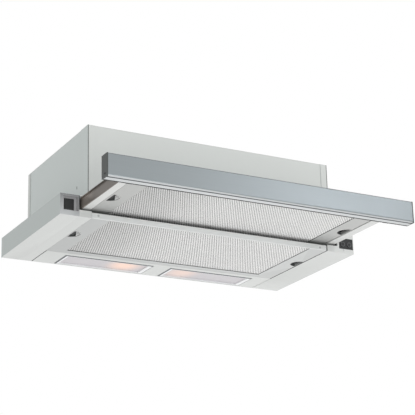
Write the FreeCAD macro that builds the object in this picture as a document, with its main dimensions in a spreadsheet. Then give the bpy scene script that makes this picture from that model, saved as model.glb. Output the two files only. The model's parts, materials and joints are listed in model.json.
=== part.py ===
import FreeCAD, Part

import math
import os

import Sketcher

# A slide-out cooker hood for a 60 cm wall cabinet.
# X runs along the width, Y from the room to the wall, Z up.
# The origin is on the wall face, at the middle of its lower edge.

SIZES = (
    # Carcass
    ("base_width", 598.0, "width of the base and of the front bar"),
    ("base_height", 38.0, "height of the wide base"),
    ("hood_height", 172.0, "underside to the top of the motor box"),
    ("box_setback", 51.0, "side of the base to the side of the motor box"),
    ("steel_gauge", 1.0, "thickness of the folded sheet steel"),
    ("strip_width", 59.0, "underside strip on each side of the filters"),
    ("fold_height", 6.0, "height of the folded edges that carry the filters"),
    ("lip_height", 12.0, "height of the low front lip beside the filter"),
    ("corner_side_leg", 31.0, "side leg of the front corner angles"),
    ("corner_front_leg", 14.0, "front leg of the front corner angles"),
    ("rear_flange", 10.0, "flange of the rear panel over the box sides"),
    ("sill_depth", 14.0, "inward fold under the box front panel"),
    ("slot_width", 1.6, "hanging slot in the box sides"),
    ("slot_height", 5.5, "height of the hanging slot"),
    ("slot_setback", 50.0, "front of the carcass to the hanging slot"),
    ("slot_level", 70.0, "middle height of the hanging slot"),
    ("part_clearance", 0.3, "small gap between pieces that stay apart"),
    # Cabinet fixing
    ("cabinet_screw_radius", 2.5, "holes for the cabinet screws"),
    ("cabinet_screw_front", 60.0, "front of the carcass to the first screws"),
    ("cabinet_screw_spacing", 160.0, "front to rear cabinet screws"),
    # Drawer runners
    ("runner_gap", 3.2, "runner web to the drawer rail"),
    ("shelf_clearance", 0.6, "drawer rail to the shelves of the runner"),
    ("runner_foot", 10.0, "foot of the runner on the strip"),
    ("slide_clearance", 0.3, "rail lip above its shelf"),
    ("lip_end_clearance", 0.5, "rail lip to the runner web"),
    ("lip_top_clearance", 0.4, "rail lip to the runner's upper shelf"),
    # Drawer
    ("drawer_level", 15.6, "underside of the slide-out frame"),
    ("rail_wall_gap", 14.0, "wall face to the rails when the drawer is in"),
    ("drawer_filter_gap", 3.0, "drawer filter to the rails"),
    ("drawer_travel", 170.5, "slide of the drawer"),
    ("closing_gap", 1.0, "bar to carcass when the drawer is in"),
    ("cover_gap", 1.5, "carcass to the rear edge of the drawer's top cover"),
    ("rear_bar_depth", 4.5, "depth of the drawer's rear bar"),
    ("filter_setback", 5.5, "bar to the front edge of the drawer filter"),
    # Front bar
    ("bar_height", 40.0, "height of the front bar"),
    ("bar_depth", 21.0, "depth of the front bar"),
    ("bar_level", 5.0, "underside of the front bar"),
    ("bar_wall", 1.8, "wall of the extruded bar"),
    ("bar_bead", 2.4, "rounded lower bead of the bar face"),
    ("bar_groove", 1.2, "width of the shadow groove behind the bead"),
    ("bar_groove_depth", 1.0, "depth of the shadow groove"),
    ("cap_thickness", 2.0, "thickness of the bar's end caps"),
    ("cap_spigot", 8.0, "length of the plug inside the bar"),
    ("cap_clearance", 0.2, "plug to the bar's inner walls"),
    ("bracket_length", 40.0, "leg of the rail to bar brackets along the rail"),
    ("bracket_face", 14.0, "leg of the brackets on the bar"),
    ("bumper_thickness", 0.7, "rubber buffers on the back of the bar"),
    ("bumper_width", 12.0, "width of a rubber buffer"),
    ("bumper_height", 5.0, "height of a rubber buffer"),
    # Grease filters
    ("filter_side_gap", 1.5, "filter cassette to the strips beside it"),
    ("filter_depth", 207.0, "depth of a filter cassette"),
    ("filter_thickness", 10.0, "thickness of a filter cassette"),
    ("filter_side_border", 36.5, "frame on each side of the mesh"),
    ("filter_front_border", 7.0, "frame in front of the mesh"),
    ("filter_rear_border", 15.0, "frame behind the mesh"),
    ("mesh_seat", 4.0, "mesh held under the frame's folded edge"),
    ("mesh_clearance", 0.3, "mesh to the inside of the frame"),
    ("mesh_thickness", 0.8, "expanded metal sheet"),
    ("layer_thickness", 0.6, "each fine layer above the visible mesh"),
    ("tongue_width", 24.0, "rear hanging tongues of a filter"),
    ("tongue_length", 5.5, "length of a tongue"),
    ("tongue_reach", 150.0, "centre line to a tongue"),
    ("hook_clearance", 0.4, "tongues and bolts above the folded edges"),
    ("filter_rear_gap", 1.0, "filter to the edge behind it"),
    # Filter latches
    ("cup_radius", 17.0, "radius of the D-shaped finger cup"),
    ("cup_setback", 97.0, "front of the filter to the finger cup"),
    ("cup_ceiling", 0.8, "sheet above the finger cup"),
    ("latch_pad_width", 7.0, "finger pad of the latch"),
    ("latch_pad_length", 23.0, "length of the finger pad"),
    ("latch_pad_rise", 2.0, "finger pad above the filter's underside"),
    ("latch_pad_height", 3.5, "height of the finger pad"),
    ("bolt_width", 10.0, "width of the latch bolt"),
    ("bolt_engagement", 4.0, "bolt past the opening's edge"),
    # Lamp panel and lamps
    ("lamp_panel_depth", 75.0, "wall face to the front of the lamp panel"),
    ("lamp_panel_gap", 1.0, "lamp panel to the strips"),
    ("window_side", 38.5, "side of the lamp panel to a window, before their shift"),
    ("window_gap", 35.0, "between the two windows"),
    ("window_front", 12.0, "front of the lamp panel to the windows"),
    ("window_rear", 3.0, "wall face to the windows"),
    ("window_offset", 5.0, "both windows sit this far to the right"),
    ("cover_margin", 2.0, "lamp cover to its window"),
    ("cover_plate", 1.6, "thickness of the lamp cover"),
    ("cover_rise", 3.0, "recess of the lamp cover"),
    ("cover_rim", 3.0, "raised border of the lamp cover"),
    ("cover_rim_height", 0.9, "height of the cover's border"),
    ("clip_width", 12.0, "spring clips of the lamp cover"),
    ("clip_height", 9.0, "height of the clips"),
    ("clip_clearance", 0.3, "clips to the lamp tray"),
    ("tray_wall", 0.8, "wall of the lamp tray"),
    ("lamp_cover_gap", 5.4, "lamp cover to the lamp's glass"),
    ("lamp_tray_gap", 4.2, "lamp's glass to the top of its tray"),
    ("lamp_reach", 33.0, "centre line to the tip of a lamp"),
    ("holder_radius", 12.5, "lamp holder"),
    ("holder_length", 30.0, "length of the lamp holder"),
    ("holder_floor", 2.0, "floor of the lamp holder's bore"),
    ("holder_bore", 7.4, "bore of the lamp holder"),
    ("holder_foot", 6.0, "thickness of the foot that hangs the holder"),
    ("lamp_cap_radius", 6.9, "screw cap of the lamp"),
    ("lamp_cap_length", 24.0, "length of the screw cap"),
    ("glass_radius", 14.0, "glass of the lamp"),
    ("glass_length", 58.0, "length of the lamp's glass"),
    ("glass_neck", 6.0, "narrow neck of the glass"),
    # Left control
    ("pocket_inner_margin", 1.5, "left pocket to the runner side of its face"),
    ("pocket_outer_margin", 6.0, "left pocket to the outside of the base"),
    ("pocket_bottom", 9.0, "underside of the left pocket"),
    ("pocket_top_margin", 2.5, "left pocket to the top of the base"),
    ("pocket_depth", 9.0, "depth of the left pocket"),
    ("bezel_wall", 1.0, "wall of the left bezel"),
    ("lamp_button_side", 5.45, "lamp button to the sides of its pocket"),
    ("lamp_button_end", 3.05, "lamp button to the floor and top of its pocket"),
    ("lamp_button_proud", 2.0, "lamp button in front of the pocket's back"),
    ("lamp_button_length", 7.0, "length of the lamp button"),
    ("button_clearance", 0.3, "buttons to their guides"),
    ("button_travel", 2.5, "push of each button"),
    ("switch_depth", 17.0, "switch body behind the pocket"),
    ("switch_wall", 2.0, "wall of the switch body"),
    # Right control
    ("control_inner_margin", 4.0, "right control to the runner side of its face"),
    ("control_outer_margin", 1.5, "right control to the outside of the base"),
    ("control_bottom", 8.4, "underside of the right control"),
    ("control_top_margin", 9.2, "right control to the top of the base"),
    ("control_setback", 0.5, "control block behind the front face"),
    ("control_flange", 2.0, "flange of the control block behind the steel"),
    ("control_block_depth", 20.0, "depth of the right control block"),
    ("round_button_radius", 4.6, "round push buttons"),
    ("round_button_margin", 8.0, "side of the control block to a button's middle"),
    ("round_button_pitch", 14.5, "between the middles of the round buttons"),
    ("round_button_drop", 1.2, "round buttons under the middle of their block"),
    ("round_button_proud", 1.2, "round buttons in front of their block"),
    ("round_button_length", 9.0, "length of the round buttons"),
    # Blower
    ("wheel_axis_gap", 28.0, "front of the lamp panel to the wheel's axis"),
    ("wheel_blade_depth", 9.0, "depth of the blades"),
    ("wheel_width", 84.0, "width of the blower wheel"),
    ("wheel_ring", 1.6, "thickness of the wheel's rings and disc"),
    ("blade_thickness", 1.2, "thickness of a blade"),
    ("blade_lean", 24.0, "lean of the blades in degrees"),
    ("hub_radius", 9.0, "hub of the wheel"),
    ("hub_length", 14.0, "length of the hub"),
    ("scroll_side_gap", 4.0, "wheel to the sides of the snail housing"),
    ("scroll_wall", 2.0, "wall of the snail housing"),
    ("scroll_base_gap", 0.5, "wide base to the snail housing above it"),
    ("scroll_head_room", 16.0, "snail housing around the wheel to the top of the motor box"),
    ("scroll_throat_gap", 3.0, "wheel to the housing at its tongue"),
    ("scroll_floor_gap", 6.5, "wheel to the housing below it"),
    ("scroll_mouth_gap", 16.0, "wheel to the housing in front of it"),
    ("tongue_shift", 10.0, "wheel's axis to the outlet's inner wall"),
    ("inlet_lap", 7.0, "housing over the rim of the wheel at its inlets"),
    ("shaft_radius", 4.0, "motor shaft"),
    ("shaft_fit", 0.05, "radial clearance of the shaft in the motor"),
    ("shaft_cover", 5.0, "motor beyond the end of its shaft"),
    ("motor_inlet_gap", 11.0, "motor to the rim of the inlet that it reaches into"),
    ("motor_length", 62.0, "length of the motor body"),
    ("motor_gap", 3.0, "hub of the wheel to the motor"),
    ("motor_arm_width", 10.0, "arms of the motor bracket"),
    ("motor_arm_thickness", 2.0, "thickness of the bracket"),
    ("motor_arm_overlap", 9.0, "arms on the scroll's side"),
    # Duct outlet
    ("spigot_radius", 59.75, "outside radius of the duct spigot"),
    ("spigot_wall", 1.8, "wall of the spigot"),
    ("spigot_height", 28.0, "spigot above its flange"),
    ("spigot_flange_width", 18.25, "width of the spigot's flange"),
    ("spigot_flange", 2.0, "thickness of the flange"),
    ("spigot_shift", 40.0, "wheel's axis to the spigot's axis"),
    ("flap_level", 12.0, "flap pin above the flange"),
    ("flap_clearance", 1.0, "flaps to the spigot"),
    ("flap_thickness", 1.4, "thickness of a flap"),
    ("flap_pin_radius", 2.0, "pin of the flaps"),
    ("flap_pin_fit", 0.08, "radial clearance of the flaps on their pin"),
    ("flap_knuckle_wall", 1.3, "wall of the flap knuckles"),
    ("flap_knuckle_length", 12.0, "length of a knuckle"),
    ("flap_knuckle_gap", 0.5, "between neighbouring knuckles"),
    ("flap_stop_reach", 4.0, "stops under the flaps"),
    ("flap_stop_width", 16.0, "width of a stop"),
    ("flap_stop_height", 1.5, "height of a stop"),
    ("pin_boss_length", 5.0, "bosses that hold the flap pin"),
    # Electrics
    ("terminal_width", 64.0, "terminal box"),
    ("terminal_depth", 40.0, "depth of the terminal box"),
    ("terminal_height", 34.0, "height of the terminal box"),
    ("terminal_setback", 26.0, "wall face to the terminal box"),
    ("terminal_lid", 2.5, "lid of the terminal box"),
    ("gland_gap", 23.0, "side of the terminal box to the cable gland"),
    ("gland_side", 43.0, "side of the motor box to the cable gland"),
    ("gland_setback", 45.0, "wall face to the cable gland"),
    ("gland_bore", 4.0, "cable bore of the gland"),
    ("gland_radius", 7.5, "body of the gland"),
    ("gland_collar_radius", 11.0, "collar of the gland"),
    ("gland_collar", 3.0, "thickness of the gland's collar"),
    ("gland_height", 10.0, "gland above its collar"),
    ("gland_tail", 9.0, "gland below the top panel"),
    ("capacitor_radius", 14.0, "run capacitor"),
    ("capacitor_length", 44.0, "length of the run capacitor"),
    ("drawer_switch_width", 12.0, "microswitch that the drawer presses"),
    ("drawer_switch_height", 14.0, "height of the microswitch"),
    # Screws
    ("screw_head_radius", 3.4, "pan-head screws"),
    ("screw_head_height", 2.0, "height of a screw head"),
    ("screw_radius", 1.6, "screw shank"),
    ("screw_length", 7.0, "shank under the head"),
    ("screw_clearance", 0.1, "shank to its hole"),
    ("hole_overrun", 2.0, "cutters run past the sheet by this"),
)


class Length:
    """A size that knows its number and the spreadsheet formula behind it."""

    def __init__(self, value, formula):
        self.value = float(value)
        self.formula = formula

    @staticmethod
    def of(other):
        if isinstance(other, Length):
            return other
        return Length(other, repr(float(other)))

    def combine(self, other, sign, value):
        return Length(value, f"({self.formula} {sign} {other.formula})")

    def __add__(self, other):
        other = Length.of(other)
        return self.combine(other, "+", self.value + other.value)

    def __sub__(self, other):
        other = Length.of(other)
        return self.combine(other, "-", self.value - other.value)

    def __mul__(self, other):
        other = Length.of(other)
        return self.combine(other, "*", self.value * other.value)

    def __truediv__(self, other):
        other = Length.of(other)
        return self.combine(other, "/", self.value / other.value)

    def __neg__(self):
        return Length(-self.value, f"(0 - {self.formula})")

    def __radd__(self, other):
        return Length.of(other) + self

    def __rsub__(self, other):
        return Length.of(other) - self

    def __rmul__(self, other):
        return Length.of(other) * self


class Sizes:
    """The driving dimensions, each with its value and its formula."""

    def __init__(self, document):
        sheet = document.addObject("Spreadsheet::Sheet", "Sizes")
        for row, (alias, value, note) in enumerate(SIZES, start=1):
            sheet.set(f"A{row}", note)
            sheet.set(f"B{row}", repr(value))
            sheet.setAlias(f"B{row}", alias)
        document.recompute()
        for alias, value, note in SIZES:
            setattr(self, alias, Length(getattr(sheet, alias), f"Sizes.{alias}"))


doc = FreeCAD.newDocument("CookerHood")
size = Sizes(doc)
ZERO = Length(0, "0")
NODES = []
SIDES = ("left", "right")
ALONG_X = FreeCAD.Rotation(FreeCAD.Vector(0, 1, 0), 90)
AGAINST_X = FreeCAD.Rotation(FreeCAD.Vector(0, 1, 0), -90)
ALONG_Y = FreeCAD.Rotation(FreeCAD.Vector(1, 0, 0), -90)
UPRIGHT = FreeCAD.Rotation()


# Building blocks

def bind(item, path, length):
    """Tie one property of an object to the formula of a size."""
    item.setExpression(path, Length.of(length).formula)


def place(item, x, y, z, rotation=UPRIGHT):
    """Give an object a place that follows the sizes."""
    item.Placement = FreeCAD.Placement(FreeCAD.Vector(), rotation)
    for axis, length in (("x", x), ("y", y), ("z", z)):
        bind(item, f"Placement.Base.{axis}", length)


def block(name, x, y, z):
    """A box between two values on each axis."""
    item = doc.addObject("Part::Box", name)
    place(item, x[0], y[0], z[0])
    for edge, (low, high) in (("Length", x), ("Width", y), ("Height", z)):
        bind(item, edge, Length.of(high) - low)
    return item


def rod(name, start, radius, length, rotation=UPRIGHT):
    """A cylinder from its start point along the turned Z axis."""
    item = doc.addObject("Part::Cylinder", name)
    place(item, *start, rotation)
    bind(item, "Radius", radius)
    bind(item, "Height", length)
    return item


def joined(name, items):
    """The union of several solids that touch or overlap."""
    item = doc.addObject("Part::MultiFuse", name)
    item.Shapes = items
    item.Refine = True
    return item


def cut(name, base, tools):
    """A solid with other solids taken away from it."""
    item = doc.addObject("Part::Cut", name)
    item.Base = base
    item.Tool = tools[0] if len(tools) == 1 else joined(f"{name}_tools", tools)
    item.Refine = True
    return item


def group(name, items):
    """Several separate solids kept under one name."""
    item = doc.addObject("Part::Compound", name)
    item.Links = items
    return item


def node(label, item):
    """Mark a finished sub-part, whose label names its file."""
    item.Label = label
    NODES.append(item)
    return item


def span(side, inner, outer):
    """The X range of a piece between two distances from the centre line."""
    if side == "left":
        return (-Length.of(outer), -Length.of(inner))
    return (Length.of(inner), Length.of(outer))


def reach(side, distance):
    """The X value at one distance from the centre line."""
    return -Length.of(distance) if side == "left" else Length.of(distance)


def around(middle, width):
    """The range of a given width about a middle value."""
    return (middle - width / 2, middle + width / 2)


def profile_body(name, plane, outlines):
    """A body with a sketch of closed outlines on one of its origin planes."""
    body = doc.addObject("PartDesign::Body", name)
    sketch = outline_sketch(body, f"{name}_outline", plane, outlines)
    return body, sketch


def outline_sketch(body, name, plane, outlines):
    """A sketch whose corners are all dimensioned from the origin."""
    sketch = body.newObject("Sketcher::SketchObject", name)
    support = [item for item in body.Origin.OriginFeatures if item.Role == plane][0]
    sketch.AttachmentSupport = [(support, "")]
    sketch.MapMode = "FlatFace"
    for corners in outlines:
        first = sketch.GeometryCount
        count = len(corners)
        points = [FreeCAD.Vector(u.value, v.value, 0) for u, v in corners]
        for index in range(count):
            edge = Part.LineSegment(points[index], points[(index + 1) % count])
            sketch.addGeometry(edge, False)
        for index in range(count):
            following = first + (index + 1) % count
            sketch.addConstraint(Sketcher.Constraint("Coincident", first + index, 2, following, 1))
        for index, corner in enumerate(corners):
            for kind, length in zip(("DistanceX", "DistanceY"), corner):
                rule = Sketcher.Constraint(kind, -1, 1, first + index, 1, length.value)
                number = sketch.addConstraint(rule)
                sketch.setExpression(f"Constraints[{number}]", length.formula)
    return sketch


def rectangle(u, v):
    """The four corners of a rectangle between two values each way."""
    u = [Length.of(value) for value in u]
    v = [Length.of(value) for value in v]
    return [(u[0], v[0]), (u[1], v[0]), (u[1], v[1]), (u[0], v[1])]


def pad(body, sketch, length, middle=False, reversed_way=False):
    """Extrude a sketch by a size."""
    item = body.newObject("PartDesign::Pad", f"{sketch.Name}_pad")
    item.Profile = sketch
    item.Midplane = middle
    item.Reversed = reversed_way
    bind(item, "Length", length)
    return item


def turned(body, sketch, axis="V_Axis"):
    """Revolve a sketch a full turn about one of its own axes."""
    item = body.newObject("PartDesign::Revolution", f"{sketch.Name}_turned")
    item.Profile = sketch
    item.ReferenceAxis = (sketch, [axis])
    item.Angle = 360.0
    return item


# Levels and planes that several pieces share

gauge = size.steel_gauge
base_half = size.base_width / 2
box_half = base_half - size.box_setback
open_half = base_half - size.strip_width
lamp_panel_front = -size.lamp_panel_depth
front = lamp_panel_front - size.filter_rear_gap - size.filter_depth
control_outer = base_half - size.control_outer_margin
control_inner = control_outer - size.round_button_margin * 2 - size.round_button_pitch
control_reach = control_inner - size.control_inner_margin
filter_half = open_half - size.filter_side_gap
ledge = size.base_height
roof = size.hood_height
runner_top = ledge - gauge * 2
runner_face = control_reach - gauge
rail_reach = runner_face - size.runner_gap
shelf_reach = rail_reach + size.shelf_clearance
rail_open = filter_half + size.drawer_filter_gap
rail_bottom = size.drawer_level
rail_top = runner_top - gauge - size.lip_top_clearance
bar_back = front - size.closing_gap - size.drawer_travel
bar_front = bar_back - size.bar_depth
bar_top = size.bar_level + size.bar_height
rail_rear = -size.rail_wall_gap - size.drawer_travel
drawer_filter_front = bar_back + size.filter_setback
drawer_filter_rear = drawer_filter_front + size.filter_depth
cup_top = size.filter_thickness - size.cup_ceiling
bolt_low = size.fold_height + size.hook_clearance
bolt_high = cup_top - size.hook_clearance / 2
window_width = open_half - size.lamp_panel_gap - size.window_side - size.window_gap / 2
window_depth = (lamp_panel_front + size.window_front, -size.window_rear)
lamp_y = (window_depth[0] + window_depth[1]) / 2
lamp_z = size.cover_rise + size.cover_plate + size.lamp_cover_gap + size.glass_radius
tray_ceiling = lamp_z + size.glass_radius + size.lamp_tray_gap
pocket_inner = control_reach + size.pocket_inner_margin
pocket_outer = base_half - size.pocket_outer_margin
pocket_top = ledge - size.pocket_top_margin
pocket_back = front + gauge + size.pocket_depth
control_top = ledge - size.control_top_margin
wheel_room = roof - ledge - size.scroll_base_gap - size.scroll_floor_gap - size.scroll_throat_gap
wheel_radius = (wheel_room - size.scroll_wall * 2 - size.scroll_head_room) / 2
wheel_y = lamp_panel_front - size.wheel_axis_gap
wheel_z = ledge + size.scroll_base_gap + size.scroll_wall + size.scroll_floor_gap + wheel_radius
scroll_half_width = size.wheel_width / 2 + size.scroll_side_gap + size.scroll_wall
inlet_radius = wheel_radius - size.inlet_lap
motor_radius = inlet_radius - size.motor_inlet_gap
motor_start = size.hub_length / 2 + size.motor_gap
shaft_end = motor_start + size.motor_length - size.shaft_cover
spigot_y = wheel_y - size.spigot_shift
spigot_bore = size.spigot_radius - size.spigot_wall
flap_pin_z = roof + size.spigot_flange + size.flap_level
overrun = size.hole_overrun


# Carcass

def base_side(side):
    """Folded side of the base: wall, underside strip, top ledge, front face and lip."""
    name = f"base_side_{side}"
    depth = (front, -gauge)
    face = (front, front + gauge)
    pieces = [
        block(f"{name}_wall", span(side, base_half - gauge, base_half), depth, (ZERO, ledge)),
        block(f"{name}_strip", span(side, open_half, base_half), depth, (ZERO, gauge)),
        block(f"{name}_ledge", span(side, box_half, base_half), depth, (ledge - gauge, ledge)),
        block(f"{name}_face", span(side, control_reach, base_half), face, (ZERO, ledge)),
        block(f"{name}_lip", span(side, open_half, control_reach), face, (ZERO, size.lip_height)),
        block(f"{name}_fold", span(side, open_half, open_half + gauge), depth, (ZERO, size.fold_height)),
    ]
    through = (front - overrun, front + gauge + overrun)
    if side == "left":
        window_x = span(side, pocket_inner, pocket_outer)
        window_z = (size.pocket_bottom, pocket_top)
    else:
        gap = size.part_clearance
        window_x = span(side, control_inner - gap, control_outer + gap)
        window_z = (size.control_bottom - gap, control_top + gap)
    cutters = [block(f"{name}_window", window_x, through, window_z)]
    for row in range(2):
        hole_y = front + size.cabinet_screw_front + size.cabinet_screw_spacing * row
        start = (reach(side, (control_reach + base_half) / 2), hole_y, ledge - gauge - overrun)
        hole = rod(f"{name}_screw_hole_{row}", start, size.cabinet_screw_radius, gauge + overrun * 2)
        cutters.append(hole)
    node(name, cut(f"{name}_solid", joined(f"{name}_sheet", pieces), cutters))


def box_side(side):
    """Side panel of the motor box with its bottom flange and hanging slot."""
    name = f"box_side_{side}"
    depth = (front + gauge * 2, -gauge)
    wall = span(side, box_half - gauge * 2, box_half - gauge)
    pieces = [
        block(f"{name}_wall", wall, depth, (runner_top, roof - gauge)),
        block(f"{name}_flange", span(side, box_half - gauge * 2, control_reach - gauge), depth,
              (runner_top, ledge - gauge)),
    ]
    slot_x = span(side, box_half - gauge * 2 - overrun, box_half - gauge + overrun)
    slot_y = around(front + size.slot_setback, size.slot_width)
    slot = block(f"{name}_slot", slot_x, slot_y, around(size.slot_level, size.slot_height))
    node(name, cut(f"{name}_solid", joined(f"{name}_sheet", pieces), [slot]))


def corner_angle(side):
    """Upright angle that wraps the front corner of the motor box."""
    name = f"corner_angle_{side}"
    x_outer = reach(side, box_half)
    x_inner = reach(side, box_half - gauge)
    x_front = reach(side, box_half - size.corner_front_leg)
    y_side = front + size.corner_side_leg
    corners = [
        (x_outer, front),
        (x_front, front),
        (x_front, front + gauge),
        (x_inner, front + gauge),
        (x_inner, y_side),
        (x_outer, y_side),
    ]
    body, sketch = profile_body(f"{name}_body", "XY_Plane", [corners])
    place(body, ZERO, ZERO, ledge)
    pad(body, sketch, roof - ledge)
    node(name, body)


def box_front():
    """Front panel of the motor box, with a sill folded in over the drawer."""
    inner = box_half - gauge
    wall = block("box_front_wall", (-inner, inner), (front + gauge, front + gauge * 2), (ledge, roof - gauge))
    sill_half = box_half - gauge * 3
    sill = block("box_front_sill", (-sill_half, sill_half), (front + gauge, front + gauge + size.sill_depth),
                 (ledge - gauge, ledge))
    node("box_front_panel", joined("box_front_solid", [wall, sill]))


def box_rear():
    """Rear panel of the motor box, folded forward over both sides."""
    inner = box_half - gauge
    pieces = [block("box_rear_wall", (-box_half, box_half), (-gauge, ZERO), (ledge, roof - gauge))]
    for side in SIDES:
        flange = block(f"box_rear_flange_{side}", span(side, inner, box_half), (-size.rear_flange, ZERO),
                       (ledge, roof - gauge))
        pieces.append(flange)
    node("box_rear_panel", joined("box_rear_solid", pieces))


def base_rear():
    """Rear wall of the wide base."""
    node("base_rear_panel", block("base_rear_wall", (-base_half, base_half), (-gauge, ZERO), (ZERO, ledge)))


def box_top():
    """Top panel with the duct hole, the spigot's screw holes and the gland hole."""
    inner = box_half - gauge
    outline = rectangle((-inner, inner), (front + gauge, ZERO))
    body, sketch = profile_body("box_top_body", "XY_Plane", [outline])
    place(body, ZERO, ZERO, roof - gauge)
    pad(body, sketch, gauge)
    low = roof - gauge - overrun
    through = gauge + overrun * 2
    cutters = [
        rod("box_top_duct_hole", (ZERO, spigot_y, low), spigot_bore, through),
        rod("box_top_gland_hole", (gland_x(), -size.gland_setback, low),
            size.gland_radius + size.screw_clearance, through),
    ]
    for number, (x, y) in enumerate(spigot_screw_places()):
        cutters.append(rod(f"box_top_screw_hole_{number}", (x, y, low), size.screw_radius + size.screw_clearance,
                           through))
    node("box_top_panel", cut("box_top_solid", body, cutters))


def spigot_screw_places():
    """Four screws on the middle of the spigot's flange, on its diagonals."""
    offset = (size.spigot_radius + size.spigot_flange_width / 2) * math.sqrt(0.5)
    return [(offset * x, spigot_y + offset * y) for x in (-1, 1) for y in (-1, 1)]


def drawer_runner(side):
    """Runner inside the base: web, foot and the two shelves that hold the rail's lip."""
    name = f"drawer_runner_{side}"
    depth = (front + gauge, -gauge)
    shelf_top = rail_top - gauge - size.slide_clearance
    pieces = [
        block(f"{name}_web", span(side, runner_face, control_reach), depth, (gauge, runner_top)),
        block(f"{name}_foot", span(side, runner_face, control_reach + size.runner_foot), depth,
              (gauge, gauge * 2)),
        block(f"{name}_shelf", span(side, shelf_reach, control_reach), depth, (shelf_top - gauge, shelf_top)),
        block(f"{name}_top", span(side, shelf_reach, control_reach), depth, (runner_top - gauge, runner_top)),
    ]
    node(name, joined(f"{name}_sheet", pieces))


# Drawer

def drawer_rail(side):
    """Slide-out rail: bottom flange, outer wall, sliding lip and the fold that holds the filter."""
    name = f"drawer_rail_{side}"
    lip_reach = runner_face - size.lip_end_clearance
    corners = [
        (rail_open, rail_bottom),
        (rail_reach, rail_bottom),
        (rail_reach, rail_top - gauge),
        (lip_reach, rail_top - gauge),
        (lip_reach, rail_top),
        (rail_reach - gauge, rail_top),
        (rail_reach - gauge, rail_bottom + gauge),
        (rail_open + gauge, rail_bottom + gauge),
        (rail_open + gauge, rail_bottom + size.fold_height),
        (rail_open, rail_bottom + size.fold_height),
    ]
    outline = [(reach(side, across), height) for across, height in corners]
    body, sketch = profile_body(f"{name}_body", "XZ_Plane", [outline])
    place(body, ZERO, rail_rear, ZERO)
    pad(body, sketch, rail_rear - bar_back)
    node(name, body)


def drawer_cover():
    """Sheet that closes the top of the drawer between its rails."""
    half = rail_reach - gauge
    node("drawer_cover", block("drawer_cover_sheet", (-half, half), (bar_back, front - size.cover_gap),
                               (rail_top - gauge, rail_top)))


def drawer_rear_bar():
    """Bar behind the drawer filter, with the fold that its tongues hang on."""
    edge = drawer_filter_rear + size.filter_rear_gap
    floor = block("drawer_rear_floor", (-rail_open, rail_open), (edge, edge + size.rear_bar_depth),
                  (rail_bottom, rail_bottom + gauge))
    fold = block("drawer_rear_fold", (-rail_open, rail_open), (edge, edge + gauge),
                 (rail_bottom, rail_bottom + size.fold_height))
    node("drawer_rear_bar", joined("drawer_rear_solid", [floor, fold]))


def front_bar():
    """Extruded bar: a hollow section with a rounded lower bead and a shadow groove."""
    outer = [
        (bar_front, size.bar_level + size.bar_bead),
        (bar_front + size.bar_bead, size.bar_level),
        (bar_front + size.bar_bead, size.bar_level + size.bar_groove_depth),
        (bar_front + size.bar_bead + size.bar_groove, size.bar_level + size.bar_groove_depth),
        (bar_front + size.bar_bead + size.bar_groove, size.bar_level),
        (bar_back, size.bar_level),
        (bar_back, bar_top),
        (bar_front, bar_top),
    ]
    inner = rectangle((bar_front + size.bar_wall, bar_back - size.bar_wall),
                      (size.bar_level + size.bar_bead + size.bar_wall, bar_top - size.bar_wall))
    body, sketch = profile_body("front_bar_body", "YZ_Plane", [outer, inner])
    pad(body, sketch, size.base_width - size.cap_thickness * 2, middle=True)
    node("front_bar", body)


def bar_cap(side):
    """Moulded end cap with a plug that fits inside the bar."""
    name = f"bar_cap_{side}"
    inset = size.bar_wall + size.cap_clearance
    plate = block(f"{name}_plate", span(side, base_half - size.cap_thickness, base_half), (bar_front, bar_back),
                  (size.bar_level, bar_top))
    plug = block(f"{name}_plug",
                 span(side, base_half - size.cap_thickness - size.cap_spigot, base_half - size.cap_thickness),
                 (bar_front + inset, bar_back - inset),
                 (size.bar_level + size.bar_bead + inset, bar_top - inset))
    node(name, joined(f"{name}_solid", [plate, plug]))


def bar_brackets():
    """Angle brackets that join the rails to the back of the bar."""
    items = []
    low = rail_bottom + gauge
    high = rail_top - gauge
    for side in SIDES:
        outer = rail_reach - gauge
        leg = block(f"bracket_leg_{side}", span(side, outer - gauge, outer),
                    (bar_back, bar_back + size.bracket_length), (low, high))
        face = block(f"bracket_face_{side}", span(side, outer - size.bracket_face, outer),
                     (bar_back, bar_back + gauge), (low, high))
        items.append(joined(f"bracket_{side}", [leg, face]))
    node("bar_brackets", group("bar_brackets_group", items))


def bar_bumpers():
    """Rubber buffers on the back of the bar that meet the front lips."""
    items = []
    middle = (open_half + control_reach) / 2
    for side in SIDES:
        across = around(reach(side, middle), size.bumper_width)
        items.append(block(f"bumper_{side}", across, (bar_back, bar_back + size.bumper_thickness),
                           (size.bar_level, size.bar_level + size.bumper_height)))
    node("bar_bumpers", group("bar_bumpers_group", items))


# Grease filters

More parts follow.
